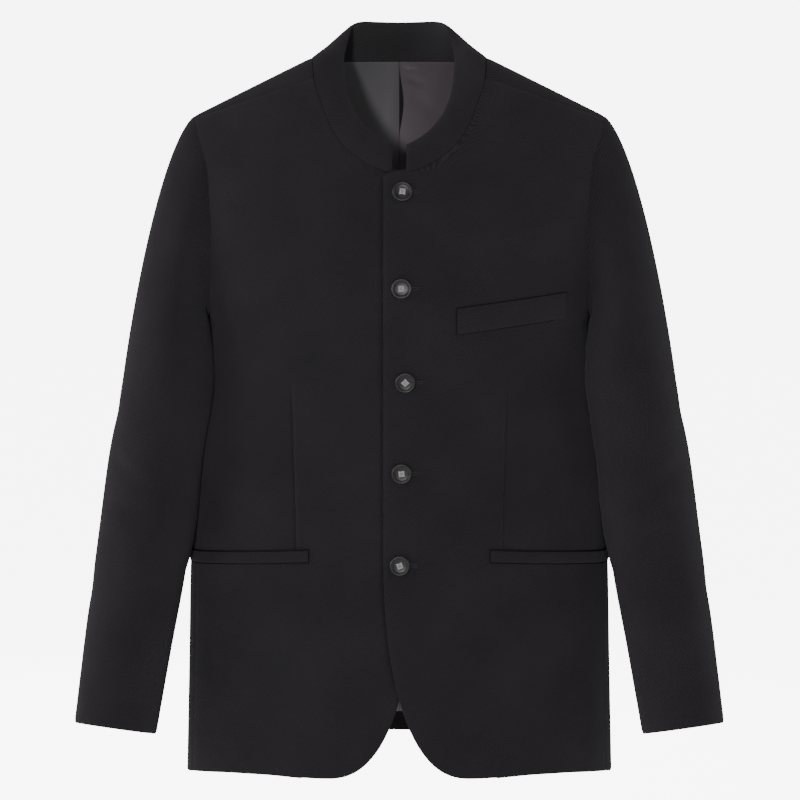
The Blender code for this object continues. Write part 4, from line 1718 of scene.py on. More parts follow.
@dataclass(frozen=True)
class SleeveSizes:
    """Sizes, divisions and folds of the sleeves."""

    cloth: float = 0.0020
    under_cut: Cut = Cut(0.100, 0.562, 0.0446)
    top_cut: Cut = Cut(0.245, 0.639, 0.1358)
    seam_gap: float = 0.0001
    side_lines: int = 7
    under_from_line: int = 2
    under_to_back_row: int = 3
    finer: int = 4
    cap_rows: int = 40
    arm_rows: int = 96
    turn_in: tuple[float, ...] = (1.0, 0.5, 0.2)
    cap_rows_drawn: int = 9
    mean_radius: float = 0.052
    seam_sink: float = 0.0003
    seam_width: float = 0.0024
    rest_gap: float = 0.00015
    rest_from: float = 0.012
    facing: float = -0.2
    sections: tuple[SleeveSection, ...] = table(SleeveSection, (
        (-0.6833, 0.2908, -0.076, 0.0423, 0.0470),
        (-0.5963, 0.2782, -0.058, 0.0449, 0.0515),
        (-0.5142, 0.2652, -0.048, 0.0470, 0.0560),
        (-0.4316, 0.2538, -0.044, 0.0472, 0.0600),
        (-0.3334, 0.2396, -0.044, 0.0434, 0.0640),
    ))
    starts: tuple[CapStart, ...] = table(CapStart, (
        (0, 0.72, 0.00, -0.69, 0.040, 0.105),
        (90, 0.85, 0.45, -0.10, 0.035, 0.080),
        (180, 0.40, 0.05, 0.90, 0.012, 0.018),
        (270, 0.85, -0.40, -0.10, 0.035, 0.080),
        (360, 0.72, 0.00, -0.69, 0.040, 0.105),
    ))
    creases: tuple[Crease, ...] = table(Crease, (
        (0.020, -0.405, 0.085, -0.440, 0.010, -0.0018),
        (0.015, -0.455, 0.095, -0.465, 0.009, -0.0022),
        (0.025, -0.500, 0.090, -0.485, 0.010, -0.0015),
        (-0.020, -0.340, 0.050, -0.400, 0.014, -0.0012),
        (-0.030, -0.520, 0.040, -0.570, 0.016, -0.0010),
        (0.010, -0.610, 0.060, -0.650, 0.012, -0.0008),
        (0.138, -0.225, 0.142, -0.365, 0.020, 0.0048),
        (0.163, -0.400, 0.163, -0.512, 0.030, 0.0042),
        (0.150, -0.236, 0.156, -0.420, 0.013, 0.0050),
        (-0.140, -0.215, -0.142, -0.385, 0.022, 0.0075),
        (-0.100, -0.380, -0.030, -0.430, 0.015, -0.0015),
        (-0.110, -0.470, -0.040, -0.490, 0.013, -0.0014),
    ))


@dataclass
class Sleeves:
    """Two-piece sleeves set into the armholes."""

    pattern: Pattern
    sizes: SleeveSizes
    finishes: Finishes

    def turns(self) -> Array:
        """Turns round the armhole of the panels' own lines, once round from the side's front seam.

        Returns:
            Rising turns, closed by the first one a full turn later.
        """
        pattern, cut = self.pattern, self.pattern.sizes
        angles = np.linspace(cut.front_seam, cut.back_seam, self.sizes.side_lines)
        side = np.array([pattern.corner_turn(angle) for angle in angles])
        full = 2 * math.pi
        rising = np.linspace(side[-1], full, cut.ridge_row + 2)[1:]
        over = np.linspace(full, full + cut.shoulder_seam_turn, len(cut.back_edge) - cut.ridge_row)[1:]
        front = np.linspace(side[0], cut.shoulder_seam_turn, len(cut.front_edge) + 1)[1:]
        return np.concatenate((side, rising, over, full + front[-2::-1], [full + side[0]]))

    def ring(self, z: float, turn: Array) -> tuple[Array, Array]:
        """Section of the sleeve square to its run.

        Args:
            z: Height of its middle.
            turn: Turns round it.

        Returns:
            Its points and the direction down the sleeve.
        """
        sections, step = self.sizes.sections, self.pattern.figure.sizes.gradient_step

        def centre(height: float) -> Array:
            """Middle of the sleeve."""
            return np.array([column(sections, name, height) for name in ("x", "y")] + [height])

        down = unit(centre(z - step) - centre(z + step))
        outward = unit(np.array((1.0, 0.0, 0.0)) - down * down[0])
        forward = np.cross(down, outward)
        width = column(sections, "half_width", z)
        depth = column(sections, "half_depth", z)
        points = centre(z) + np.outer(np.cos(turn) * width, outward) + np.outer(np.sin(turn) * depth, forward)
        return points, down

    def grid(self) -> tuple[Grid, Array]:
        """Outer face of the whole sleeve.

        Returns:
            The grid, from the armhole down, its columns once round, and the columns' turns.
        """
        sizes = self.sizes
        coarse = self.turns()
        index = np.arange((len(coarse) - 1) * sizes.finer) / sizes.finer
        turn = np.interp(index, np.arange(len(coarse)), coarse)
        degrees = np.degrees(turn) % 360
        start = self.pattern.armhole(turn)
        start_normals = self.pattern.figure.normal(start)
        lead = unit(np.stack((column(sizes.starts, "out", degrees), -column(sizes.starts, "forward", degrees),
                              column(sizes.starts, "up", degrees)), axis=-1))
        start = start + lead * self.pattern.sizes.seam_gap
        top = sizes.sections[-1].height
        end, down = self.ring(top, turn)
        hold = start + lead * column(sizes.starts, "reach", degrees)[:, None]
        settle = end - down * column(sizes.starts, "settle", degrees)[:, None]
        rings = []
        for share in np.linspace(0, 1, sizes.cap_rows + 1):
            rest = 1 - share
            rings.append(start * rest ** 3 + hold * 3 * rest ** 2 * share + settle * 3 * rest * share ** 2
                         + end * share ** 3)
        for z in np.linspace(top, sizes.sections[0].height, sizes.arm_rows + 1)[1:]:
            rings.append(self.ring(float(z), turn)[0])
        points = np.stack(rings)
        normals = grid_normals(points, around=True)
        drawn = np.linspace(0, sizes.cap_rows_drawn, sizes.cap_rows + 1)
        held = np.interp(drawn, np.arange(len(sizes.turn_in) + 1), sizes.turn_in + (0.0,))
        for number, share in enumerate(held):
            normals[number] = unit(mix(normals[number], start_normals, share))
        steps = np.linalg.norm(np.diff(points, axis=0), axis=-1)
        rest = np.zeros((1, points.shape[1]))
        from_cuff = np.concatenate((np.cumsum(steps[::-1], axis=0)[::-1], rest))
        from_armhole = np.concatenate((rest, np.cumsum(steps, axis=0)))
        sink = sizes.seam_sink * np.exp(-(from_armhole / sizes.seam_width) ** 2)
        u = np.broadcast_to(turn * sizes.mean_radius, points.shape[:2])
        cut = np.stack((u, from_cuff + sizes.sections[0].height), axis=-1)
        return Grid(points - normals * sink[..., None], normals, cut), turn

    def rest(self, grid: Grid, folds: Relief, skin: KDTree, directions: Array) -> None:
        """Lay a piece against the body where its folds would press into it.

        Args:
            grid: The piece's outer face, moved in place.
            folds: Its folds.
            skin: The body's outer points.
            directions: The body's outward directions at them.
        """
        sizes = self.sizes
        held = ease((grid.cut[:1, :, 1] - grid.cut[..., 1]) / sizes.rest_from)
        outer = grid.points + grid.normals * folds.at(grid.cut)[..., None]
        for place in np.ndindex(*held.shape):
            near, number, _ = skin.find(outer[place])
            away = directions[number]
            inside = sizes.rest_gap - float(np.dot(outer[place] - np.array(near), away))
            if inside > 0 and float(np.dot(grid.normals[place], away)) < sizes.facing:
                grid.points[place] += away * inside * held[place]

    def build(self, hand: Hand, skins: Sequence[Grid]) -> None:
        """Build both pieces of one sleeve.

        Args:
            hand: Side of the wearer.
            skins: Outer faces of the body it rests against.
        """
        sizes = self.sizes
        directions = np.concatenate([skin.normals.reshape(-1, 3) for skin in skins])
        tree = KDTree(len(directions))
        for number, point in enumerate(np.concatenate([skin.points.reshape(-1, 3) for skin in skins])):
            tree.insert(point, number)
        tree.balance()
        whole, turn = self.grid()
        first = sizes.under_from_line * sizes.finer
        last = (sizes.side_lines + sizes.under_to_back_row) * sizes.finer
        count = whole.points.shape[1]
        under = np.arange(first, last + 1)
        top = np.concatenate((np.arange(last, count), np.arange(first + 1)))
        edges = EdgeFinish(Edge.SEAM, Edge.FOLD, Edge.SEAM, Edge.SEAM)
        round_once = 2 * math.pi * sizes.mean_radius
        wrapped = [crease._replace(start_u=crease.start_u - round_once, end_u=crease.end_u - round_once)
                   for crease in sizes.creases]
        folds = Relief(list(sizes.creases) + wrapped)
        pieces = (("under_sleeve", under, sizes.under_cut), ("top_sleeve", top, sizes.top_cut))
        for word, columns, cut in pieces:
            grid = whole.part(columns)
            grid.cut[..., 0] = (np.unwrap(turn[columns]) - 2 * math.pi) * sizes.mean_radius
            for edge, inside in ((0, 1), (-1, -2)):
                inward = unit(grid.points[:, inside] - grid.points[:, edge])
                grid.points[:, edge] += inward * sizes.seam_gap / 2
            self.rest(grid, folds, tree, directions)
            node = f"{word}_{hand.word}"
            shell = ClothShell(f"{node}_cloth", grid, sizes.cloth, edges, folds, hand, -1)
            item = dress(shell.build(), self.finishes.twill, Slot.TWILL, (node,))
            sewn_to = [f"{other}_{hand.word}_cloth" for other in ("front", "side", "back")]
            declare(item, cut, Held.HUNG, sewn_to)


@dataclass(frozen=True)
class CollarSizes:
    """Sizes and divisions of the stand collar."""

    cloth: float = 0.0026
    cut: Cut = Cut(0.630, 0.0455, 0.0206)
    gap: float = 0.0003
    bulge: float = 0.0045
    rows: int = 14
    seam_radius: float = 0.00047
    seam_depth: float = 0.00030
    top: tuple[CollarTop, ...] = table(CollarTop, (
        (0.0080, -0.0840, -0.0867),
        (0.0165, -0.0808, -0.0826),
        (0.0241, -0.0770, -0.0779),
        (0.0330, -0.0700, -0.0700),
        (0.0420, -0.0610, -0.0590),
        (0.0495, -0.0470, -0.0440),
        (0.0525, -0.0370, -0.0335),
        (0.0543, -0.0270, -0.0235),
        (0.0555, -0.0170, -0.0140),
        (0.0562, -0.0070, -0.0060),
        (0.0562, 0.0020, 0.0010),
        (0.0552, 0.0120, 0.0085),
        (0.0528, 0.0300, 0.0225),
        (0.0488, 0.0450, 0.0328),
        (0.0400, 0.0555, 0.0353),
        (0.0225, 0.0622, 0.0350),
        (0.0000, 0.0640, 0.0346),
    ))


@dataclass
class Collar:
    """Stand collar sewn to the neck seam."""

    panels: BodyPanels
    sizes: CollarSizes
    finishes: Finishes

    def neck(self) -> tuple[Array, Array, Array]:
        """Neck seam of one side from the collar end to the centre back, on the panels' own rows.

        Returns:
            Its points, outward directions and the lap's lift.
        """
        pattern, steps = self.panels.pattern, self.panels.sizes.upper_steps
        cut, figure = pattern.sizes, pattern.figure
        front_last, back_last = len(cut.front_edge) - 1, len(cut.back_edge) - 1
        front_rows = np.linspace(cut.collar_from, front_last, (front_last - cut.collar_from) * steps + 1)
        back_count = (back_last - cut.back_neck_from) * steps + 1
        back_rows = np.linspace(back_last, cut.back_neck_from, back_count)[1:]
        front = self.panels.edge_reader(cut.front_edge, pattern.front_corner, front_rows)
        back = self.panels.back_edges(back_rows)
        face = np.array([Face.FRONT.value] * len(front) + [side for _, side in back])
        edge = np.array([tuple(point) for point in front] + [tuple(point) for point, _ in back])
        points = figure.point(edge[:, 0], edge[:, 1], face)
        normals = figure.normal(points)
        return points, normals, normals * np.where(face < 0, pattern.lift(edge[:, 0]), 0)[:, None]

    def grid(self) -> Grid:
        """Outer face of the collar.

        Returns:
            The grid from the wearer's right end to the left, seam edge first.
        """
        sizes = self.sizes
        half_seam, half_normals, lift = self.neck()
        flip = np.array((-1, 1, 1))
        drawn = np.concatenate((np.array(sizes.top) * flip, np.array(sizes.top)[-2::-1]))
        seam = np.concatenate((half_seam * flip, (half_seam + lift)[-2::-1]))
        seam_normals = np.concatenate((half_normals * flip, half_normals[-2::-1]))
        top = self.through(drawn, np.linspace(0, len(drawn) - 1, len(seam)))
        top[len(half_seam):] += lift[-2::-1]
        up = unit(top - seam)
        along = unit(np.gradient(seam + top, axis=0, edge_order=2))
        outward = unit(np.cross(up, along))
        start = seam + up * sizes.gap
        rows = []
        for share in np.linspace(0, 1, sizes.rows + 1):
            rows.append(mix(start, top, share) + outward * sizes.bulge * 4 * share * (1 - share))
        points = np.stack(rows)
        normals = -grid_normals(points, around=False)
        normals[0] = unit(seam_normals)
        distance = np.concatenate(([0], np.cumsum(np.linalg.norm(np.diff(seam, axis=0), axis=-1))))
        u = np.broadcast_to(distance - distance[-1] / 2, points.shape[:2])
        rise = np.linalg.norm(points - points[:1], axis=-1)
        return Grid(points, normals, np.stack((u, rise), axis=-1))

    @staticmethod
    def through(values: Array, index: Array) -> Array:
        """Rounded line through points, a cubic with the chords' mean slopes.

        Args:
            values: The points.
            index: Fractional numbers to read.

        Returns:
            The points there.
        """
        slopes = np.gradient(values, axis=0)
        base = np.clip(index.astype(int), 0, len(values) - 2)
        share = (index - base)[:, None]
        eased = share * share * (3 - 2 * share)
        lead_in = share * (1 - share) ** 2 * slopes[base]
        lead_out = share ** 2 * (share - 1) * slopes[base + 1]
        return values[base] * (1 - eased) + values[base + 1] * eased + lead_in + lead_out

    def build(self) -> None:
        """Build the collar."""
        edges = EdgeFinish(Edge.SEAM, Edge.FOLD, Edge.FOLD, Edge.FOLD)
        grid = self.grid()
        item = ClothShell("collar_cloth", grid, self.sizes.cloth, edges, Relief(), weave_across=-1).build()
        dress(item, self.finishes.twill, Slot.TWILL, ("collar",))
        # The collar's inner face takes the lighter copy of the twill, which is painted light on the same cloth.
        item.data.materials.append(self.finishes.inside_twill)
        quads = (grid.points.shape[0] - 1) * (grid.points.shape[1] - 1)
        for face in item.data.polygons[quads:2 * quads]:
            face.material_index = 1
        sewn_to = [f"{word}_{hand.word}_cloth" for word in ("front", "back") for hand in Hand]
        declare(item, self.sizes.cut, Held.STRETCHED, sewn_to, (self.seam_line(grid),))

    def seam_line(self, grid: Grid) -> Item:
        """Near-black line sunk in the neck seam, painted shade of the seam's groove.

        Args:
            grid: Outer face of the collar.

        Returns:
            The piece.
        """
        sizes = self.sizes
        line = (grid.points[0] - grid.normals[0] * sizes.seam_depth)[1:-1]
        builder = bmesh.new()
        Sewing.tube(builder, line, np.full(len(line), sizes.seam_radius), False)
        # The line takes the near-black matt finish: painted shade along the neck seam.
        return dress(Sewing.item("collar_seam", builder, Matrix.Identity(4)), self.finishes.pocketing, None)


@dataclass(frozen=True)
class LiningSizes:
    """Sizes and folds of the back lining."""

    cloth: float = 0.0010
    cut: Cut = Cut(0.224, 0.735, 0.1454)
    shell: float = 0.0020
    clearance: float = 0.0009
    edge_inset: float = 0.004
    hem_rise: float = 0.0205
    half_gap: float = 0.0005
    opening: float = 0.0045
    top: float = -0.006
    end: float = -0.090
    fade: float = 0.080
    finer: int = 2
    left_creases: tuple[Crease, ...] = table(Crease, (
        (0.000, -0.0105, 0.020, -0.0120, 0.0018, 0.0022),
        (0.000, -0.0155, 0.031, -0.0290, 0.0024, 0.0026),
        (0.012, -0.0340, 0.044, -0.0640, 0.0070, 0.0014),
    ))
    right_creases: tuple[Crease, ...] = table(Crease, (
        (0.006, -0.028, 0.016, -0.128, 0.0060, 0.0010),
    ))


@dataclass
class Lining:
    """Back lining in two halves with the centre pleat."""

    panels: BodyPanels
    sizes: LiningSizes
    finishes: Finishes

    def grid(self, opening: float) -> Grid:
        """Face of one half towards the back.

        Args:
            opening: How far the pleat stands open.

        Returns:
            The grid, hem first.
        """
        sizes, pattern = self.sizes, self.panels.pattern
        last_row = pattern.sizes.ridge_row - 1
        back = self.panels.back_grid(last_row, sizes.hem_rise, sizes.edge_inset, sizes.finer)
        x, z = back.points[..., 0], back.points[..., 2]
        along = np.clip((sizes.top - z) / (sizes.top - sizes.end), 0, 1)
        gap = sizes.half_gap + opening * np.sin(along * math.pi) ** 2
        moved = pattern.figure.point(x + gap * np.clip(1 - x / sizes.fade, 0, 1), z, Face.BACK.value)
        normals = pattern.figure.normal(moved)
        flat = np.stack((moved[..., 0], moved[..., 2]), axis=-1)
        return Grid(moved - normals * (sizes.shell + sizes.clearance), normals, flat)

    def build(self, hand: Hand) -> None:
        """Build one half.

        Args:
            hand: Side of the wearer.
        """
        sizes = self.sizes
        left = hand is Hand.LEFT
        creases = sizes.left_creases if left else sizes.right_creases
        inward = Relief([crease._replace(depth=-crease.depth) for crease in creases])
        steps = self.panels.sizes.upper_steps * sizes.finer
        pleat_rows = len(self.panels.shares()) + (self.panels.pattern.sizes.back_neck_from + 1) * steps
        edges = EdgeFinish(Edge.FOLD, Edge.SEAM, Edge.FOLD, Edge.SEAM, pleat_rows)
        node = f"lining_{hand.word}"
        grid = self.grid(sizes.opening if left else 0.0)
        shell = ClothShell(f"{node}_cloth", grid, sizes.cloth, edges, inward, hand)
        item = dress(shell.build(), self.finishes.lining, Slot.LINING, (node,))
        declare(item, sizes.cut, Held.HUNG, [f"back_{hand.word}_cloth", "collar_cloth"])


@dataclass(frozen=True)
class Welt:
    """A welt's top edge, height, mouth (the strip of painted shade round it) and cut, and the angle it runs to round
    the side, if it does.
    """

    line: tuple[EdgePoint, ...]
    height: float
    mouth: Mouth
    cut: Cut
    outer_angle: Optional[float] = None


@dataclass(frozen=True)
class PocketSizes:
    """Welts laid on the fronts."""

    chest: Welt = Welt(
        (EdgePoint(0.0581, -0.2500), EdgePoint(0.1130, -0.2430), EdgePoint(0.1672, -0.2366)),
        0.0245, Mouth(0.0017, 0.0013, 0.0013), Cut(0.117, 0.0245))
    hip: Welt = Welt(
        (EdgePoint(0.0925, -0.4960), EdgePoint(0.1450, -0.5022), EdgePoint(0.1900, -0.5072),
         EdgePoint(0.2230, -0.5080)),
        0.0102, Mouth(0.0024, 0.0017, 0.0015), Cut(0.205, 0.0102), math.radians(99))
    cloth: float = 0.0014
    gap: float = 0.0007
    columns: int = 64
    rows: int = 10
    edge_sink: float = 0.0006
    edge_width: float = 0.0022
    thin_from: float = 0.70
    thin_by: float = 0.65
    mouth_cloth: float = 0.0003
    mouth_gap: float = 0.0002


@dataclass
class Pockets:
    """Chest welt and hip welts."""

    pattern: Pattern
    sizes: PocketSizes
    finishes: Finishes

    def strip(self, line: Sequence[EdgePoint], height: float, outer_angle: Optional[float]) -> Grid:
        """Strip of the figure's front along a line.

        Args:
            line: Its top edge.
            height: Its height.
            outer_angle: Angle round the body it runs to, or None to stay in front.

        Returns:
            The grid, top edge first.
        """
        sizes, figure = self.sizes, self.pattern.figure
        knots = [point.x for point in line]
        x = np.linspace(knots[0], knots[-1], sizes.columns + 1)
        top = smooth(knots, [point.height for point in line], x)
        shares = np.linspace(0, 1, sizes.rows + 1)
        rows = []
        for share in shares:
            z = top - height * share
            if outer_angle is None:
                rows.append(figure.point(x, z, Face.FRONT.value))
            else:
                across = x[0] / figure.half_width(z[0])
                first = math.asin(float(across) ** (figure.sizes.squareness / 2))
                rows.append(figure.round(np.linspace(first, outer_angle, sizes.columns + 1), z))
        points = np.stack(rows)
        run = np.concatenate(([0], np.cumsum(np.linalg.norm(np.diff(points[0], axis=0), axis=-1))))
        cut = np.stack(np.broadcast_arrays(run[None, :], -shares[:, None] * height), axis=-1)
        return Grid(points, figure.normal(points), cut)

    def thinning(self, welt: Welt) -> Array:
        """How much of a welt's standing is left along it, less where it runs off round the side.

        Args:
            welt: The welt.

        Returns:
            A factor for each column.
        """
        along = np.linspace(0, 1, self.sizes.columns + 1)
        if welt.outer_angle is None:
            return np.ones_like(along)
        return 1 - self.sizes.thin_by * ease((along - self.sizes.thin_from) / (1 - self.sizes.thin_from))

    def band(self, node: str, welt: Welt, hand: Hand) -> Item:
        """Make the folded band of a welt.

        Args:
            node: Node it stands for.
            welt: The welt.
            hand: Side of the wearer.

        Returns:
            The piece.
        """
        sizes = self.sizes
        thin = self.thinning(welt)
        strip = self.strip(welt.line, welt.height, welt.outer_angle)
        away = np.minimum(-strip.cut[..., 1], welt.height + strip.cut[..., 1])
        sink = sizes.edge_sink * np.exp(-(away / sizes.edge_width) ** 2)
        lift = self.pattern.lift(strip.points[..., 0])
        off = (sizes.gap + sizes.cloth) * thin + lift - sink * thin
        grid = Grid(strip.points + strip.normals * off[..., None], strip.normals, strip.cut)
        edges = EdgeFinish(Edge.FOLD, Edge.FOLD, Edge.FOLD, Edge.FOLD)
        shell = ClothShell(f"{node}_cloth", grid, sizes.cloth * thin[None, :], edges, hand=hand)
        return dress(shell.build(), self.finishes.twill, Slot.TWILL, (node,))

    def mouth(self, node: str, welt: Welt, hand: Hand) -> Item:
        """Make the near-black strip round a welt, painted shade of the pocket's slit.

        Args:
            node: Node of the welt.
            welt: The welt.
            hand: Side of the wearer.

        Returns:
            The piece.
        """
        sizes, shows, line = self.sizes, welt.mouth, welt.line
        raised = [point._replace(height=point.height + shows.above) for point in line]
        raised[0] = raised[0]._replace(x=line[0].x - shows.beside)
        if welt.outer_angle is None:
            raised[-1] = raised[-1]._replace(x=line[-1].x + shows.beside)
        strip = self.strip(raised, welt.height + shows.above + shows.below, welt.outer_angle)
        off = sizes.mouth_gap + sizes.mouth_cloth + self.pattern.lift(strip.points[..., 0])
        grid = Grid(strip.points + strip.normals * off[..., None], strip.normals, strip.cut)
        edges = EdgeFinish(Edge.SEAM, Edge.SEAM, Edge.SEAM, Edge.SEAM)
        shell = ClothShell(f"{node}_mouth", grid, sizes.mouth_cloth, edges, hand=hand)
        # The strip is near-black and matt: painted shade of the open slit.
        return dress(shell.build(), self.finishes.pocketing, None)

    def build(self, node: str, welt: Welt, hand: Hand, under: Sequence[str]) -> None:
        """Build one welt and the strip of painted shade at its mouth.

        Args:
            node: Node of the welt.
            welt: The welt.
            hand: Side of the wearer.
            under: Words for the panels it lies on.
        """
        band = self.band(node, welt, hand)
        mouth = self.mouth(node, welt, hand)
        declare(band, welt.cut, Held.LAID, [f"{word}_{hand.word}_cloth" for word in under], (mouth,))


@dataclass(frozen=True)
class ButtonSizes:
    """Sizes of the buttons, their thread and the buttonholes."""

    gap: float = 0.0004
    segments: int = 64
    hole_offset: float = 0.0024
    hole_radius: float = 0.0010
    hole_segments: int = 16
    profile: tuple[tuple[float, float], ...] = (
        (0.0, 0.0), (0.0080, 0.0), (0.0096, 0.0006), (0.0102, 0.0015), (0.0102, 0.0022), (0.0098, 0.0029),
        (0.0092, 0.0032), (0.0085, 0.0031), (0.0078, 0.0027), (0.0070, 0.0021), (0.0064, 0.0019),
        (0.0040, 0.0018), (0.0, 0.0017))
    thread_radius: float = 0.00036
    thread_ends: tuple[float, ...] = (-0.00045, 0.00005, 0.00055)
    thread_bow: float = 0.00040
    thread_past: float = 0.00050
    thread_rise: float = 0.0010
    thread_base: float = 0.0016
    filling: tuple[float, ...] = (-0.00105, -0.00035, 0.00035, 0.00105)
    filling_height: float = 0.0021
    hole_reach: float = 0.0178
    hole_back: float = 0.004
    hole_half_height: float = 0.0011
    purl_radius: float = 0.0005
    purl_rounds: float = 34
    purl_swell: float = 0.16
    sharp_above: float = math.radians(40)
    merge: float = 1e-6
    drill_length: float = 0.02
    thread_points: int = 13
    thread_arch_power: float = 0.5
    thread_over: float = 0.0002
    filling_share: float = 0.7
    purl_points: int = 220
    purl_sides: int = 6
    purl_sunk: float = 0.15
    end_power: float = 0.35
    side_power: float = 0.6


@dataclass
class Buttons:
    """Sew-through buttons, their thread and the buttonholes they are pushed through."""

    pattern: Pattern
    sizes: ButtonSizes
    finishes: Finishes

    def seat(self, seat: ButtonSeat, turned: bool) -> Matrix:
        """Place on the lapped front, Z outwards.

        Args:
            seat: The button's seat.
            turned: Whether to turn with the button.

        Returns:
            The placing matrix.
        """
        place = self.pattern.figure.point(seat.x, seat.height, Face.FRONT.value)
        outward = self.pattern.figure.normal(place)
        base = Vector(place + outward * (self.pattern.lift(seat.x) + self.sizes.gap))
        face = Vector(outward).to_track_quat("Z", "Y").to_matrix().to_4x4()
        turn = Matrix.Rotation(math.radians(seat.turn_degrees if turned else 0.0), 4, "Z")
        return Matrix.Translation(base) @ face @ turn

    def disc(self, name: str, matrix: Matrix) -> Item:
        """Turned button with its sewing holes.

        Args:
            name: Name of the piece.
            matrix: Where it goes.

        Returns:
            The piece.
        """
        sizes = self.sizes
        builder = bmesh.new()
        profile = [builder.verts.new((radius, 0, height)) for radius, height in sizes.profile]
        edges = [builder.edges.new(pair) for pair in zip(profile, profile[1:])]
        bmesh.ops.spin(builder, geom=profile + edges, cent=(0, 0, 0), axis=(0, 0, 1), angle=2 * math.pi,
                       steps=sizes.segments, use_merge=True)
        bmesh.ops.remove_doubles(builder, verts=builder.verts[:], dist=sizes.merge)
        item = Sewing.item(name, builder, matrix)
        drill = bmesh.new()
        for across in (-1, 1):
            for along in (-1, 1):
                offset = Vector((across, along, 0)) * sizes.hole_offset
                bmesh.ops.create_cone(drill, cap_ends=True, segments=sizes.hole_segments,
                                      radius1=sizes.hole_radius, radius2=sizes.hole_radius,
                                      depth=sizes.drill_length, matrix=Matrix.Translation(offset))
        cutter = Sewing.item(f"{name}_drill", drill, matrix)
        cut = item.modifiers.new("holes", "BOOLEAN")
        cut.operation = "DIFFERENCE"
        cut.solver = "EXACT"
        cut.object = cutter
        bpy.context.view_layer.update()
        cut_mesh = bpy.data.meshes.new_from_object(item.evaluated_get(bpy.context.evaluated_depsgraph_get()))
        item.modifiers.clear()
        item.data = cut_mesh
        bpy.data.objects.remove(cutter, do_unlink=True)
        item.data.set_sharp_from_angle(angle=sizes.sharp_above)
        return item

    def thread(self, name: str, matrix: Matrix) -> Item:
        """Thread bars round the square of the four holes.

        Args:
            name: Name of the piece.
            matrix: Where it goes.

        Returns:
            The piece.
        """
        sizes = self.sizes
        builder = bmesh.new()
        share = np.linspace(0, 1, sizes.thread_points)
        arch = np.sin(share * math.pi)
        reach = sizes.hole_offset + sizes.thread_past
        run = mix(-reach, reach, share)
        rise = sizes.thread_base + sizes.thread_rise * arch ** sizes.thread_arch_power
        for quarter in range(4):
            spin = np.array(Matrix.Rotation(quarter * math.pi / 2, 3, "Z"))
            for end in sizes.thread_ends:
                side = sizes.hole_offset + end - sizes.thread_bow * arch
                line = np.stack((run, side, rise + sizes.thread_over * (quarter % 2)), axis=-1)
                Sewing.tube(builder, line @ spin.T, np.full(len(line), sizes.thread_radius), False)
        for place in sizes.filling:
            level = np.full_like(run, sizes.filling_height)
            line = np.stack((run * sizes.filling_share, np.full_like(run, place), level), axis=-1)
            Sewing.tube(builder, line, np.full(len(line), sizes.thread_radius), False)
        return Sewing.item(name, builder, matrix)

    def buttonhole(self, name: str, seat: ButtonSeat) -> Item:
        """Purled edge of the buttonhole, laid on the front.

        Args:
            name: Name of the piece.
            seat: The button's seat.

        Returns:
            The piece.
        """
        sizes, pattern = self.sizes, self.pattern
        turn = np.linspace(0, 2 * math.pi, sizes.purl_points, endpoint=False)
        half = (sizes.hole_reach + sizes.hole_back) / 2
        middle = seat.x + (sizes.hole_reach - sizes.hole_back) / 2
        wave = np.sin(turn * sizes.purl_rounds)
        across, upward = np.cos(turn), np.sin(turn)
        x = middle + half * np.sign(across) * np.abs(across) ** sizes.end_power
        z = seat.height + sizes.hole_half_height * np.sign(upward) * np.abs(upward) ** sizes.side_power
        place = pattern.figure.point(x, z, Face.FRONT.value)
        outward = pattern.figure.normal(place)
        line = place + outward * (pattern.lift(x) - sizes.purl_sunk * sizes.purl_radius)[:, None]
        builder = bmesh.new()
        Sewing.tube(builder, line, sizes.purl_radius * (1 + sizes.purl_swell * wave), True, sizes.purl_sides)
        return Sewing.item(name, builder, Matrix.Identity(4))

    def build(self) -> None:
        """Build every button with its thread and buttonhole."""
        for number, seat in enumerate(self.pattern.sizes.buttons, start=1):
            node = f"button_{number}"
            turned = self.seat(seat, True)
            dress(self.disc(f"{node}_disc", turned), self.finishes.horn, Slot.HORN, (node,))
            dress(self.thread(f"{node}_thread", turned), self.finishes.pale_thread, None)
            dress(self.buttonhole(f"{node}_hole", seat), self.finishes.black_thread, None)


@dataclass(frozen=True)
class StudioSizes:
    """Camera, floor and surroundings."""

    lens: float = 148.5
    distance: float = 3.4
    elevation: float = math.radians(6.5)
    target: tuple[float, float, float] = (0.0007, -0.02, -0.352)
    floor: float = -1.25
    floor_radius: float = 9.0
    floor_sides: int = 96
    floor_glow: float = 0.16
    shown: float = 6.8
    surround: float = 0.11
    sensor: float = 36.0
    white: Colour = (1.0, 1.0, 1.0, 1.0)
    paper: Colour = (0.92, 0.92, 0.92, 1.0)
    paper_roughness: float = 0.9


class LightKind(Enum):
    """Lights of the studio."""

    KEY = "key"
    FILL = "fill"
    LEFT = "rim_left"
    RIGHT = "rim_right"
    TOP = "top"
    BACK = "back"
    SIDE = "side"


@dataclass(frozen=True)
class AreaLight:
    """Soft box aimed at the jacket."""

    kind: LightKind
    azimuth: float
    elevation: float
    distance: float
    size: float
    power: float


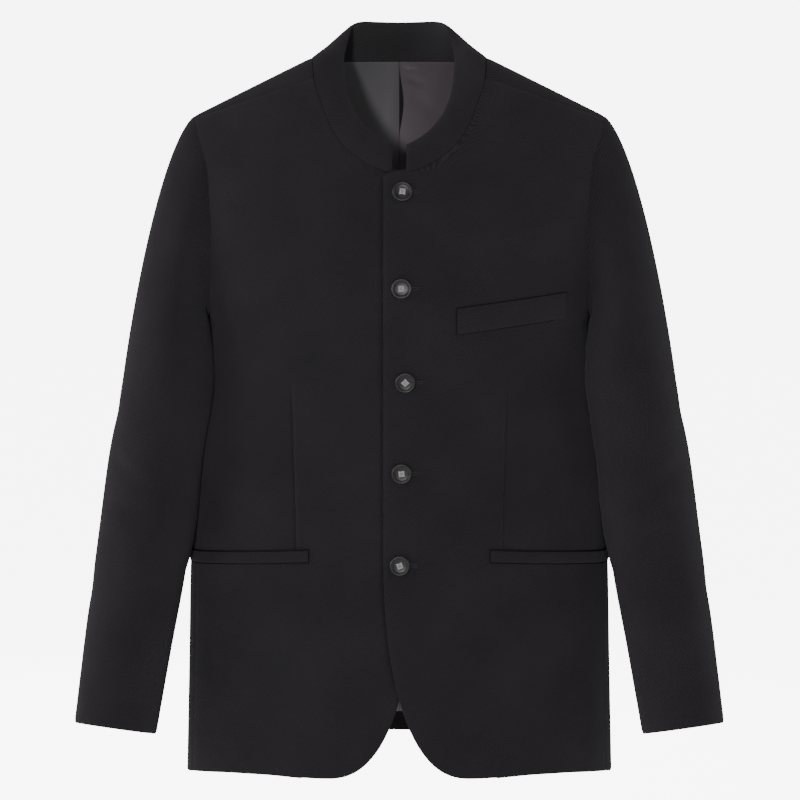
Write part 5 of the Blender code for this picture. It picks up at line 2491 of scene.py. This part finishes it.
@dataclass
class Studio:
    """Camera, lights, pale floor and white surroundings."""

    LIGHTS = (
        AreaLight(LightKind.KEY, -10.0, 10.0, 3.6, 0.30, 88.0),
        AreaLight(LightKind.FILL, 9.0, 11.0, 3.8, 0.5, 24.0),
        AreaLight(LightKind.LEFT, -78.0, 12.0, 2.4, 1.6, 56.0),
        AreaLight(LightKind.RIGHT, 80.0, 12.0, 2.4, 1.6, 27.0),
        AreaLight(LightKind.TOP, -8.0, 64.0, 2.6, 1.6, 14.0),
        AreaLight(LightKind.BACK, -172.0, 10.0, 3.4, 0.8, 64.0),
        AreaLight(LightKind.SIDE, 122.0, 10.0, 3.0, 0.8, 15.0),
    )

    sizes: StudioSizes

    @staticmethod
    def towards(azimuth: float, elevation: float) -> Vector:
        """Direction from the jacket to a place round it."""
        level = math.cos(elevation)
        return Vector((math.sin(azimuth) * level, -math.cos(azimuth) * level, math.sin(elevation)))

    def aim(self, item: Item, azimuth: float, elevation: float, distance: float) -> None:
        """Put a light or the camera round the jacket, looking at it.

        Args:
            item: The light or camera.
            azimuth: Radians from the front, positive to the wearer's left.
            elevation: Radians above level.
            distance: Distance from the target.
        """
        back = self.towards(azimuth, elevation)
        item.location = Vector(self.sizes.target) + back * distance
        item.rotation_euler = back.to_track_quat("Z", "Y").to_euler()

    def camera(self) -> None:
        """Add the camera at the photo's viewing angle."""
        sizes = self.sizes
        data = bpy.data.cameras.new("camera")
        data.lens = sizes.lens
        data.sensor_width = sizes.sensor
        item = add_object("camera", data)
        self.aim(item, 0.0, sizes.elevation, sizes.distance)
        bpy.context.scene.camera = item

    def lights(self) -> None:
        """Add the soft boxes, which stay out of sight, and the white surroundings."""
        for light in self.LIGHTS:
            data = bpy.data.lights.new(light.kind.value, "AREA")
            data.shape = "DISK"
            data.size = light.size
            data.energy = light.power
            item = add_object(light.kind.value, data)
            self.aim(item, math.radians(light.azimuth), math.radians(light.elevation), light.distance)
            item.visible_camera = False
        world = bpy.data.worlds.new("studio")
        world.use_nodes = True
        background = world.node_tree.nodes["Background"]
        background.inputs["Color"].default_value = self.sizes.white
        self.glow(world.node_tree, self.sizes.surround, background.inputs["Strength"])
        bpy.context.scene.world = world

    def glow(self, tree: Tree, least: float, strength: Socket) -> None:
        """Make a surface glow, brighter where the camera sees it straight."""
        seen = tree.nodes.new("ShaderNodeLightPath").outputs["Is Camera Ray"]
        tree.links.new(Nodes.math(tree, "MULTIPLY_ADD", seen, self.sizes.shown, least), strength)

    def floor(self) -> None:
        """Add the round pale floor."""
        sizes = self.sizes
        turn = np.linspace(0, 2 * math.pi, sizes.floor_sides, endpoint=False)
        x, y = sizes.floor_radius * np.cos(turn), sizes.floor_radius * np.sin(turn)
        points = np.stack((x, y, np.full_like(x, sizes.floor)), axis=-1)
        mesh = bpy.data.meshes.new("floor")
        mesh.from_pydata(points.tolist(), [], [tuple(range(sizes.floor_sides))])
        material, tree = Nodes.start("floor_paper")
        Nodes.values(tree, {"Base Color": sizes.paper, "Roughness": sizes.paper_roughness,
                            "Emission Color": sizes.white})
        self.glow(tree, sizes.floor_glow, tree.nodes["Principled BSDF"].inputs["Emission Strength"])
        mesh.materials.append(material)
        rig.stage(add_object("floor", mesh))

    def build(self) -> None:
        """Build the studio."""
        self.camera()
        self.lights()
        self.floor()


def write_sizes() -> None:
    """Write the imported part's box and the visual model's box for comparison."""
    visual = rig.bounds()
    boxes = {"cad": [list(corner) for corner in CAD_BOX], "visual": [list(corner) for corner in visual]}
    with open(SIZE_FILE, "w", encoding="utf-8") as out:
        json.dump(boxes, out, indent=1)


def main() -> None:
    """Build the jacket's looks, piece by piece."""
    logging.basicConfig(level=logging.INFO, format="%(name)s %(message)s")
    finishes = Finishes.make()
    pattern = Pattern(Figure(FigureSizes()), PatternSizes())
    panels = BodyPanels(pattern, BodySizes(), finishes)
    sleeves = Sleeves(pattern, SleeveSizes(), finishes)
    lining = Lining(panels, LiningSizes(), finishes)
    pockets = Pockets(pattern, PocketSizes(), finishes)
    for hand in Hand:
        sleeves.build(hand, panels.build(hand))
        lining.build(hand)
        pockets.build(f"hip_welt_{hand.word}", pockets.sizes.hip, hand, ("front", "side"))
    pockets.build("chest_welt", pockets.sizes.chest, Hand.LEFT, ("front",))
    Collar(panels, CollarSizes(), finishes).build()
    Buttons(pattern, ButtonSizes(), finishes).build()
    Studio(StudioSizes()).build()
    write_sizes()


if __name__ == "__main__":
    main()
